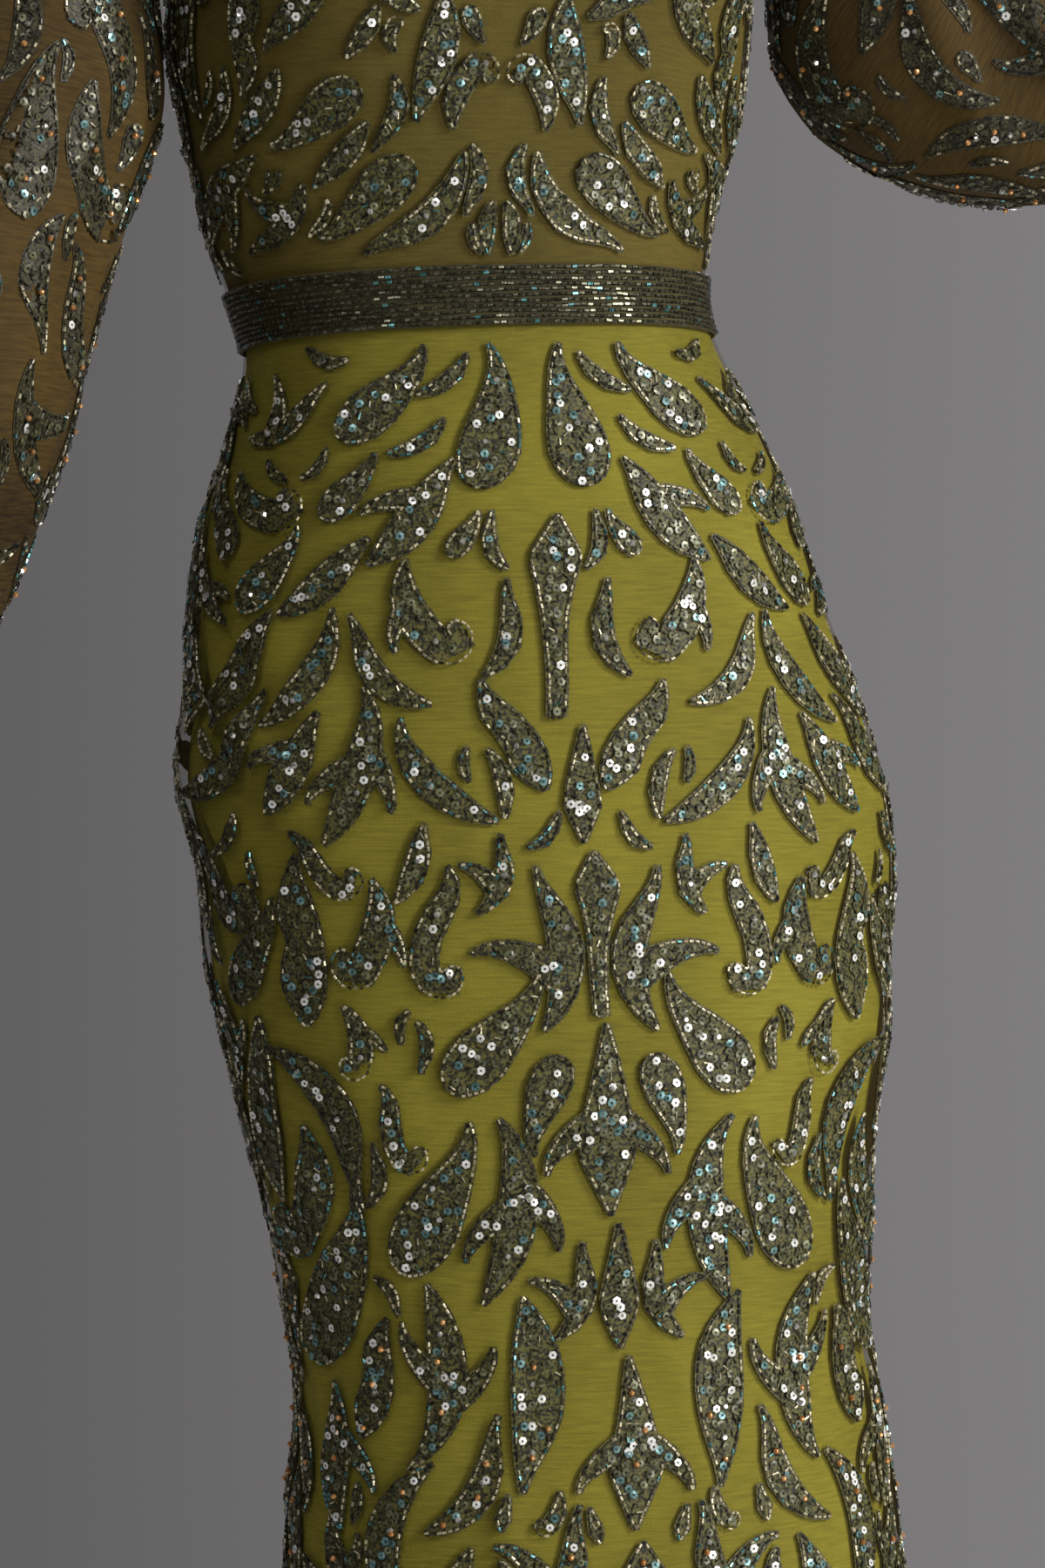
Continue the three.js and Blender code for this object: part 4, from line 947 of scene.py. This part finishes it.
def thread_and_shade_strip(shape, length):
    """The thread work under a motif's beads, darkened as painted shade between them and reaching past the
    outline as a painted shadow: a strip of places four wide, and its number of rows.
    """
    count = max(6, int(length / 6))
    at = (1 - np.cos(np.linspace(0, PI, count))) / 2
    axis, facing = interp_points(at, FINE, shape[0]), interp_points(at, FINE, shape[1])
    l, r = np.interp(at, FINE, shape[2]), np.interp(at, FINE, shape[3])
    # The strip reaches 1.6 mm past the outline so that a painted shadow shows beside the outline beads
    rim = 1.6 / length
    strip = np.stack([axis + facing * ((-l - rim) * (1 - s) + (r + rim) * s)[:, None]
                      for s in (0, 0.33, 0.67, 1)], 1)
    return strip.reshape(-1, 2) * length, count


BUGLE_PITCH = 3.0
DISC_SIDES, BALL_SIDES = 6, 7
SEQUIN_AREA, THREAD_AREA = 42, 26  # square millimetres of a motif to each sequin and each thread
GROWN_SHARE = 0.6  # beads on the forms that grow from a motif, against its first form
SPARSER_BELOW, SPARSER_SHARE = -650, 0.42  # the flare holds fewer sequins and threads to a motif
# Each kind's spacing and its distance from the motif's outline
SEQUIN_ROOM, THREAD_ROOM, STONE_ROOM, COPPER_ROOM = (3.0, 2.3), (1.9, 1.6), (14, 4), (13, 3.4)
TWO_STONES, THREE_COPPERS = 70, 60  # lengths of motif above which there is more than one
THREAD_HALF, THREAD_AND_SHADE_LIFT = 1.6, 0.55
BLUE_MOTIFS, MANY_BLUE, FEW_BLUE = 0.16, 0.34, 0.03  # share of motifs with many blue beads, shares of blue
BAR_SECTIONS = {3: [(-1, -0.3), (-0.55, 0.75), (0.55, 0.75), (1, -0.3)], 2: [(-1, -0.3), (0, 0.9), (1, -0.3)]}


def circle(x, y, turn):
    """Points round each bead; turn holds the angles."""
    return x[:, None] * np.cos(turn)[..., None] + y[:, None] * np.sin(turn)[..., None]


def ring_quads(sides, first=0):
    """Faces between two rings of corners."""
    return [(first + i, first + (i + 1) % sides, first + sides + (i + 1) % sides, first + sides + i)
            for i in range(sides)]


class Beads:
    """Collects the faces of many beads, laid on one field."""

    def __init__(self, field):
        self.field, self.count = field, 0
        self.points, self.quads, self.tris, self.quad_kinds, self.tri_kinds = [], [], [], [], []

    def add(self, points, quads, tris, kinds):
        """points is beads x corners x 3; quads and tris number one bead's corners."""
        beads, corners = points.shape[:2]
        base = self.count + np.arange(beads)[:, None, None] * corners
        self.points.append(points.reshape(-1, 3))
        for faces, lists in ((quads, (self.quads, self.quad_kinds)), (tris, (self.tris, self.tri_kinds))):
            if len(faces):
                lists[0].append((np.array(faces)[None] + base).reshape(-1, len(faces[0])))
                lists[1].append(np.repeat(kinds, len(faces)))
        self.count += beads * corners

    def spot(self, uv, lift):
        normal = self.field.normal(uv[:, 0], uv[:, 1])
        return self.field.surface(uv[:, 0], uv[:, 1]) + normal * np.reshape(lift, (-1, 1)), normal

    def flat_frame(self, uv, lift):
        """Places, normals and two directions along the cloth."""
        centre, normal = self.spot(uv, lift)
        x = unit(np.cross(normal, np.array([0.3, 0.2, 1.0])))
        return centre, normal, x, np.cross(normal, x)

    def bugles(self, start, end, radius, lift, roll, kinds, sides=3):
        """Bugle beads from start to end (places on the field), with a ridged top."""
        a, b = self.field.surface(start[:, 0], start[:, 1]), self.field.surface(end[:, 0], end[:, 1])
        mid = (start + end) / 2
        normal = self.field.normal(mid[:, 0], mid[:, 1])
        self.bars(a + normal * lift, b + normal * lift, normal, radius, roll, kinds, sides)

    def bars(self, a, b, normal, radius, roll, kinds, sides=3):
        across = unit(np.cross(unit(b - a), normal))
        up = np.cross(across, unit(b - a))
        rings = []
        for x, y in BAR_SECTIONS[sides]:
            rx = x * np.cos(roll) - y * np.sin(roll)
            ry = x * np.sin(roll) + y * np.cos(roll)
            rings.append(across * (rx * radius)[:, None] + up * (ry * radius)[:, None])
        k = len(rings)
        points = np.stack([a + r for r in rings] + [b + r for r in rings], 1)
        quads = [(i, i + 1, k + i + 1, k + i) for i in range(k - 1)]
        self.add(points, quads, [] if sides == 3 else [(2, 1, 0), (3, 4, 5)], kinds)

    def discs(self, uv, radius, hole, lift, tilt_x, tilt_y, spin, kinds):
        """Flat sequins with a small hole."""
        centre, normal, x, y = self.flat_frame(uv, lift)
        face = unit(normal + x * tilt_x[:, None] + y * tilt_y[:, None])
        x = unit(np.cross(face, y))
        ring = circle(x, np.cross(face, x), np.arange(DISC_SIDES) / DISC_SIDES * 2 * PI + spin[:, None])
        points = [centre[:, None] + ring * radius[:, None, None],
                  centre[:, None] + ring * hole + face[:, None] * 0.12]
        self.add(np.concatenate(points, 1), ring_quads(DISC_SIDES), [], kinds)

    def domes(self, uv, radius, height, lift, kinds):
        """Faceted stones with six sides and a flat top of two quads."""
        centre, normal, x, y = self.flat_frame(uv, lift)
        ring = circle(x, y, np.arange(6) / 6 * 2 * PI + 0.3) * radius[:, None, None]
        points = [centre[:, None] + ring,
                  centre[:, None] + ring * 0.55 + normal[:, None] * height[:, None, None]]
        self.add(np.concatenate(points, 1), ring_quads(6) + [(6, 7, 8, 9), (9, 10, 11, 6)], [], kinds)

    def balls(self, uv, radius, lift, kinds):
        """Round beads."""
        sides = BALL_SIDES
        centre, normal, x, y = self.flat_frame(uv, lift)
        size = radius[:, None, None]
        ring = circle(x, y, np.arange(sides) / sides * 2 * PI) * size
        rows = [centre[:, None] + ring * wide + normal[:, None] * size * up
                for wide, up in ((0.85, -0.5), (0.95, 0.3), (0.5, 0.86), (0, 1))]
        points = np.concatenate([*rows[:3], rows[3][:, :1]], 1)
        tris = [(2 * sides + i, 2 * sides + (i + 1) % sides, 3 * sides) for i in range(sides)]
        self.add(points, ring_quads(sides) + ring_quads(sides, sides), tris, kinds)

    def build(self, name, slot):
        obj = mesh_object(name, np.concatenate(self.points), np.concatenate(self.quads),
                          np.concatenate(self.tris) if self.tris else (), BEADS,
                          np.concatenate(self.quad_kinds + self.tri_kinds), smooth=False)
        return finish_piece(obj)


def pick(count, shares):
    names, odds = zip(*shares.items())
    odds = np.array(odds, float)
    return np.array([SLOT[n] for n in names])[RNG.choice(len(names), count, p=odds / odds.sum())]


# Shares of the bead kinds on the body and, darker, partly as painted shade, on the sleeves
BODY_TONES = {"ground": "motif_thread_and_shade", "edge": 0.62,
              "sequin": {"sequin_silver": 0.17, "sequin_grey": 0.69, "sequin_teal": 0.14},
              "thread": {"bugle_dark": 0.85, "bugle_light": 0.12, "bugle_blue": 0.03}}
SLEEVE_SHADED_TONES = {"ground": "sleeve_motif_thread_and_shade", "edge": 0.24,
                "sequin": {"sequin_silver": 0.06, "sequin_grey": 0.3, "bugle_dark": 0.54, "sequin_teal": 0.1},
                "thread": {"bugle_dark": 0.94, "bugle_light": 0.04, "bugle_blue": 0.02}}


def embroider(field, motifs, name, slot, copper, shares=BODY_TONES):
    """All the beads of a list of motifs: outlines in one piece, sequins and filling in another."""
    outline, filling = Beads(field), Beads(field)
    u, v, heading, kind, length, side = np.array(motifs).T
    matrices = field.frame(u, v)
    starts, ends, tones, sequins, fills, fill_ends, stones, rounds, thread_and_shade_pads = ([] for _ in range(9))
    for i, size in enumerate(length):
        shapes = SHAPES[int(kind[i])]
        blue = MANY_BLUE if RNG.uniform() < BLUE_MOTIFS else FEW_BLUE
        # Each motif's share of light outline beads changes at random, partly as painted light, so that some
        # motifs read lit and others shaded
        painted_light_share = shares["edge"] * RNG.uniform(0.3, 1.3)
        edge_shares = {"bugle_light": painted_light_share, "bugle_dark": 1 - painted_light_share, "bugle_blue": blue}

        def lay(points):
            local = turned(points, heading[i])
            local[:, 0] *= side[i]
            return np.array([u[i], v[i]]) + local @ matrices[i].T

        for n, shape in enumerate(shapes):
            loop = resample(outline_of(shape) * size, BUGLE_PITCH)
            along = unit(np.diff(loop, axis=0))
            wobble = RNG.normal(0, 0.1, along.shape)
            first = loop[:-1] + along * 0.3 + wobble
            second = loop[1:] - along * 0.55 + wobble + RNG.normal(0, 0.06, wobble.shape)
            free = np.ones(len(first), bool)
            for other in shapes[:n] + shapes[n + 1:]:
                free &= ~within((first + second) / 2, outline_of(other) * size)
            starts.append(lay(first[free]))
            ends.append(lay(second[free]))
            tones.append(pick(free.sum(), edge_shares))
            area = np.trapz(shape[2] + shape[3], FINE) * size ** 2 * (1 if n == 0 else GROWN_SHARE)
            if v[i] < SPARSER_BELOW:
                area *= SPARSER_SHARE
            sequins.append(lay(spread(shape, size, int(area / SEQUIN_AREA), *SEQUIN_ROOM)))
            spots = spread(shape, size, int(area / THREAD_AREA), *THREAD_ROOM)
            way = RNG.uniform(0, PI, len(spots))
            half = np.stack([np.cos(way), np.sin(way)], -1) * THREAD_HALF
            fills.append(lay(spots - half))
            fill_ends.append(lay(spots + half))
            if n == 0:
                stones.append(lay(spread(shape, size, 2 if size > TWO_STONES else 1, *STONE_ROOM)))
                if copper(v[i]):
                    rounds.append(lay(spread(shape, size, 3 if size > THREE_COPPERS else 1, *COPPER_ROOM)))
            strip, count = thread_and_shade_strip(shape, size)
            thread_and_shade_pads.append((lay(strip), count))
    starts, ends, tones = np.concatenate(starts), np.concatenate(ends), np.concatenate(tones)
    n = len(starts)
    outline.bugles(starts, ends, RNG.uniform(0.6, 0.7, n), 1.0, RNG.normal(0, 0.3, n), tones)
    # The ground under each motif is thread work with painted shade, and its rim is a painted shadow
    ground = SLOT[shares["ground"]]
    for spots, count in thread_and_shade_pads:
        filling.add(filling.spot(spots, THREAD_AND_SHADE_LIFT)[0][None], grid_faces(count, 4), [], ground)
    spots = np.concatenate(sequins)
    n = len(spots)
    filling.discs(spots, RNG.uniform(1.95, 2.3, n), 0.6, RNG.uniform(1.2, 2.1, n), RNG.normal(0, 0.13, n),
                  RNG.normal(0, 0.13, n), RNG.uniform(0, 1, n), pick(n, shares["sequin"]))
    a, b = np.concatenate(fills), np.concatenate(fill_ends)
    n = len(a)
    filling.bugles(a, b, 0.42, 1.0, RNG.normal(0, 0.4, n), pick(n, shares["thread"]), sides=2)
    spots = np.concatenate(stones)
    n = len(spots)
    filling.domes(spots, RNG.uniform(1.5, 1.9, n), RNG.uniform(1.1, 1.4, n), 1.2, np.full(n, SLOT["crystal"]))
    if rounds:
        spots = np.concatenate(rounds)
        n = len(spots)
        filling.balls(spots, RNG.uniform(1.45, 1.7, n), 1.9, np.full(n, SLOT["copper_bead"]))
    return [outline.build(name + "_outlines", slot), filling.build(name + "_filling", slot)]


def in_span(motif, start, end, low, high):
    turn = math.atan2(math.sin(motif[0]), math.cos(motif[0])) % (2 * PI)
    turn = turn - 2 * PI if turn > end else turn
    return start <= turn < end and low <= motif[1] < high


beadwork = {}
LONG_WAY, FLARE_RISE, COPPER_BELOW = 2000, -560, -470
PARTS = (("skirt", FLARE_RISE, 0), ("flare", -LONG_WAY, FLARE_RISE), ("bodice", 0, LONG_WAY))
for label, (start, end) in SPANS.items():
    for part, low, high in PARTS:
        chosen = [m for m in torso_motifs if in_span(m, start, end, low, high)]
        beadwork[part, label] = embroider(TORSO, chosen, f"{part}_{label}_beads", "beaded_olive",
                                          lambda v: v < COPPER_BELOW)
ROW_PITCH = 3.25


def bead_row(beads, u, v, lift, shares):
    """A row of bugle beads along a line of places on the cloth."""
    lengths = arc_lengths(beads.field.surface(u, v))
    count = int(lengths[-1] / ROW_PITCH)
    begin = np.arange(count) * ROW_PITCH + RNG.uniform(0, 1.2) + RNG.normal(0, 0.12, count)
    places = [np.stack([np.interp(at, lengths, u), np.interp(at, lengths, v) + RNG.normal(0, 0.08, count)], -1)
              for at in (begin, begin + RNG.uniform(2.5, 2.85, count))]
    beads.bugles(*places, RNG.uniform(0.78, 0.9, count), lift, RNG.normal(0, 0.25, count),
                 pick(count, shares))


CUFF_SHARES = {"bugle_grey": 0.6, "bugle_dark": 0.3, "bugle_light": 0.1}
around = np.linspace(0, 2 * PI, 400)
for side, label in ((1, "left"), (-1, "right")):
    for part, field, motifs in (("sleeve", SLEEVE_FIELDS[side], sleeve_motifs[side]),
                                ("cuff", CUFF_FIELDS[side], cuff_motifs[side])):
        beadwork[part, label] = embroider(field, motifs, f"{part}_{label}_beads", "beaded_net",
                                          lambda v: True, SLEEVE_SHADED_TONES)
    edges = Beads(CUFF_FIELDS[side])
    for distance in (3.4, 6.2, 51.6, 54.4):
        bead_row(edges, around, np.full(400, distance), 0.8, CUFF_SHARES)
    beadwork["cuff", label].append(edges.build(f"cuff_{label}_beads_edges", "beaded_net"))

# Belt
BELT_ROWS, BELT_REACH = 11, 13.1
BELT_PROFILE = [(0.55, 14.4), (1.7, 14.2), *((1.9, rise) for rise in np.linspace(13.5, -13.5, 9)),
                (1.7, -14.2), (0.55, -14.4)]
out, rise = np.array(BELT_PROFILE).T[:, :, None]
turn = np.linspace(-PI + 0.006, PI - 0.006, 240)[None]
grid = torso(turn, rise) + torso_normal(*np.broadcast_arrays(turn, rise)) * out[..., None]
belt_band = cloth_piece("belt_band", grid, turn * 0.1, rise * MM, CLOTH["band_cloth"], "belt")
belt_beads = Beads(TORSO)
fine = np.linspace(-PI + 0.008, PI - 0.008, 1200)
for row in range(BELT_ROWS):
    rise = -BELT_REACH + 2 * BELT_REACH * row / (BELT_ROWS - 1)
    height = rise + 0.25 * np.sin(9 * fine + row) + 0.15 * np.sin(23 * fine + 2.3 * row)
    bead_row(belt_beads, fine, height, 2.55, {"bugle_grey": 0.95, "bugle_blue": 0.05})
belt_rows = belt_beads.build("belt_beads", "bead_band")


# Neck binding and zip
def section_bar(name, rings, material, nodes, width):
    """A closed bar through rings of points, with flat ends and its length and width as texture places."""
    count, corners = rings.shape[:2]
    last = (count - 1) * corners
    fans = range(1, corners - 1)
    ends = [(0, k, k + 1) for k in fans] + [(last, last + k + 1, last + k) for k in fans]
    across, up = np.linspace(0, width, corners)[None] * MM, arc_lengths(rings.mean(1))[:, None] * MM
    return cloth_piece(name, rings, across, up, CLOTH[material], nodes, True, ends)


def neck_binding():
    rise = np.linspace(0, HALF_PI, 22)
    columns = NECK_COLUMNS * np.sin(rise)
    points, normals = [], []
    for is_back, side, order in ((True, -1, 1), (False, -1, -1), (False, 1, 1), (True, 1, -1)):
        column = columns[::order]
        lift = top_lift(column, not is_back)
        angle = column_angle(column, 1, lift)
        angle = PI - side * angle if is_back else side * angle
        height = BUST_RISE + YOKE_ARC * lift
        line = torso(angle, height)
        line[:, 0] += side * ZIP_SLOT * (is_back & (column == 0))
        first = 0 if not points else 1
        points.append(line[first:])
        normals.append(torso_normal(angle, height)[first:])
    points, normals = np.concatenate(points), np.concatenate(normals)
    away = unit(np.cross(np.gradient(points, axis=0), normals))
    inward = np.stack([-points[:, 0], -10 - points[:, 1], 0 * points[:, 0]], -1)
    away = away * np.where((away * inward).sum(-1) < 0, -1, 1)[:, None]
    profile = [(0.4, -BINDING_WALL), (0.4, -0.1), (0.9, 0.35), (2.4, 0.5), (5.2, 0.45), (6.8, 0.1),
               (7.4, -0.6), (7.2, -1.3), (6.4, -1.75), (3.2, -1.8)]
    rings = np.stack([points + away * out + normals * up for out, up in profile], 1)
    return section_bar("neck_binding_band", rings, "binding_cloth", "neck_binding", 2 * BINDING_HEIGHT)


def zip_pieces():
    """The zip's tape in the slot of the back, with its teeth."""
    height = np.linspace(BUST_RISE + YOKE_ARC * NECK_LIFT[False] - 1, ZIP_END + 1, 150)
    middle, normal = torso(PI, height), torso_normal(np.full(len(height), PI), height)
    section = [(-2.5, -0.5), (-0.8, -0.42), (0.8, -0.42), (2.5, -0.5), (2.5, -1.05), (-2.5, -1.05)]
    rings = np.stack([middle + normal * depth + (across, 0, 0) for across, depth in section], 1)
    tape = section_bar("zip_tape_strip", rings, "zip_tape", "back_zip", 10)
    lengths = arc_lengths(middle)
    at = np.arange(2, lengths[-1] - 2, 1.3)
    facing = unit(interp_points(at, lengths, normal))
    centre = interp_points(at, lengths, middle) - facing * 0.2
    side = np.where(np.arange(len(at)) % 2, 1, -1)[:, None] * np.array([1.0, 0, 0])
    teeth = Beads(TORSO)
    teeth.bars(centre - side * 0.5, centre + side * 1.4, facing, 0.5, np.zeros(len(at)),
               np.full(len(at), SLOT["zip_brass"]), sides=2)
    return tape, teeth.build("zip_teeth", "zip_metal")


binding = neck_binding()
zip_tape, zip_teeth = zip_pieces()
for name in ("zip_slider", "zip_tab"):
    for place in bpy.data.objects[name].material_slots:
        place.material = BEADS[SLOT["zip_brass"]]

# Cuts of the cloth: piece, flat width and length in metres, area in square metres, how it is held, what it
# hangs from and the pieces on it
FRONT_BEADS = beadwork["skirt", "front"] + beadwork["flare", "front"]
CUTS = [
    ("skirt_front_net", 1.02, 1.15, 0.66, "hung", ["bodice_front_net"], FRONT_BEADS),
    ("skirt_front_lining", 1.02, 1.14, 0.65, "hung", ["bodice_front_lining"], []),
    ("bodice_front_net", 0.46, 0.40, 0.14, "hung", ["bodice_front_lining"], beadwork["bodice", "front"]),
    ("bodice_front_lining", 0.46, 0.40, 0.14, "hung", ["neck_binding_band"], [])]
for side in ("left", "right"):
    label = f"back_{side}"
    CUTS += [
        (f"skirt_{label}_net", 0.54, 1.16, 0.34, "hung", [f"bodice_{label}_net"],
         beadwork["skirt", label] + beadwork["flare", label]),
        (f"skirt_{label}_lining", 0.54, 1.15, 0.335, "hung", [f"bodice_{label}_lining"], []),
        (f"bodice_{label}_net", 0.23, 0.42, 0.07, "hung", [f"bodice_{label}_lining"],
         beadwork["bodice", label]),
        (f"bodice_{label}_lining", 0.23, 0.42, 0.07, "hung", ["neck_binding_band"], []),
        (f"sleeve_{side}_net", 0.50, 0.60, 0.28, "gathered", ["bodice_front_net", f"bodice_{label}_net"],
         beadwork["sleeve", side]),
        (f"cuff_{side}_band", 0.21, 0.12, None, "folded", [f"sleeve_{side}_net"], beadwork["cuff", side])]

# Light, floor and world
world = bpy.data.worlds.new("studio")
bpy.context.scene.world = world
world.use_nodes = True
tree = world.node_tree
soft = feed(tree, tree.nodes["Background"], {"Color": (0.18, 0.17, 0.17, 1), "Strength": 0.48})
# The backdrop the camera sees is painted shade: grey, darker on the left and lighter on the right
direction = add_node(tree, "SeparateXYZ", {0: add_node(tree, "TexCoord", {}).outputs["Generated"]})
across = add_node(tree, "MapRange", {"Value": direction.outputs["X"], "From Min": 0.04, "From Max": 0.36})
painted_shade_colour = ramp(tree, across.outputs["Result"], 0, (0.110, 0.106, 0.108), 1, (0.215, 0.208, 0.212))
painted_shade_background = add_node(tree, "Background", {"Color": painted_shade_colour})
camera_ray = add_node(tree, "LightPath", {}).outputs["Is Camera Ray"]
either = add_node(tree, "MixShader", {0: camera_ray, 1: soft.outputs[0], 2: painted_shade_background.outputs[0]})
feed(tree, tree.nodes["World Output"], {"Surface": either.outputs[0]})

LIGHTS = {
    # name: (place, target, size, power, colour)
    "key": ((1.8, -1.6, 0.4), (0.1, 0, -0.95), 0.8, 54, (1, 0.97, 0.92)),
    "fill": ((-1.2, -1.6, 1.3), (-0.1, 0, -0.5), 1.0, 10, (1, 1, 1)),
    "low": ((1.0, -1.45, -1.0), (0.15, 0, -1.1), 0.5, 9, (1, 0.98, 0.94)),
    "spark": ((0.5, -2.6, 0.3), (0.05, 0, -0.75), 0.25, 5, (1, 1, 1)),
    "back": ((0.7, 2.5, 1.0), (0, 0, -0.7), 1.4, 62, (1, 1, 1))}
for name, (place, target, size, power, colour) in LIGHTS.items():
    data = bpy.data.lights.new(name, "AREA")
    data.shape = "DISK"
    data.size, data.energy, data.color = size, power, colour
    lamp = link(bpy.data.objects.new(name, data))
    lamp.location = place
    lamp.rotation_euler = (Vector(target) - Vector(place)).to_track_quat("-Z", "Y").to_euler()

FLOOR_RADIUS, FLOOR_Z, FLOOR_SIDES = 2200, -1542, 96
floor_material, tree, shader, place = new_material("floor_paper")
paper = ramp(tree, noise(tree, place, 3, 2), 0.3, (0.50, 0.49, 0.48), 0.7, (0.56, 0.55, 0.54))
feed(tree, shader, {"Base Color": paper, "Roughness": 0.9})
rim = [(FLOOR_RADIUS * math.cos(a), FLOOR_RADIUS * math.sin(a), FLOOR_Z)
       for a in np.linspace(0, 2 * PI, FLOOR_SIDES, endpoint=False)]
floor = mesh_object("floor", rim + [(0, 0, FLOOR_Z)], (),
                    [(i, (i + 1) % FLOOR_SIDES, FLOOR_SIDES) for i in range(FLOOR_SIDES)], [floor_material],
                    smooth=False)

bpy.context.scene.view_settings.view_transform = "Standard"
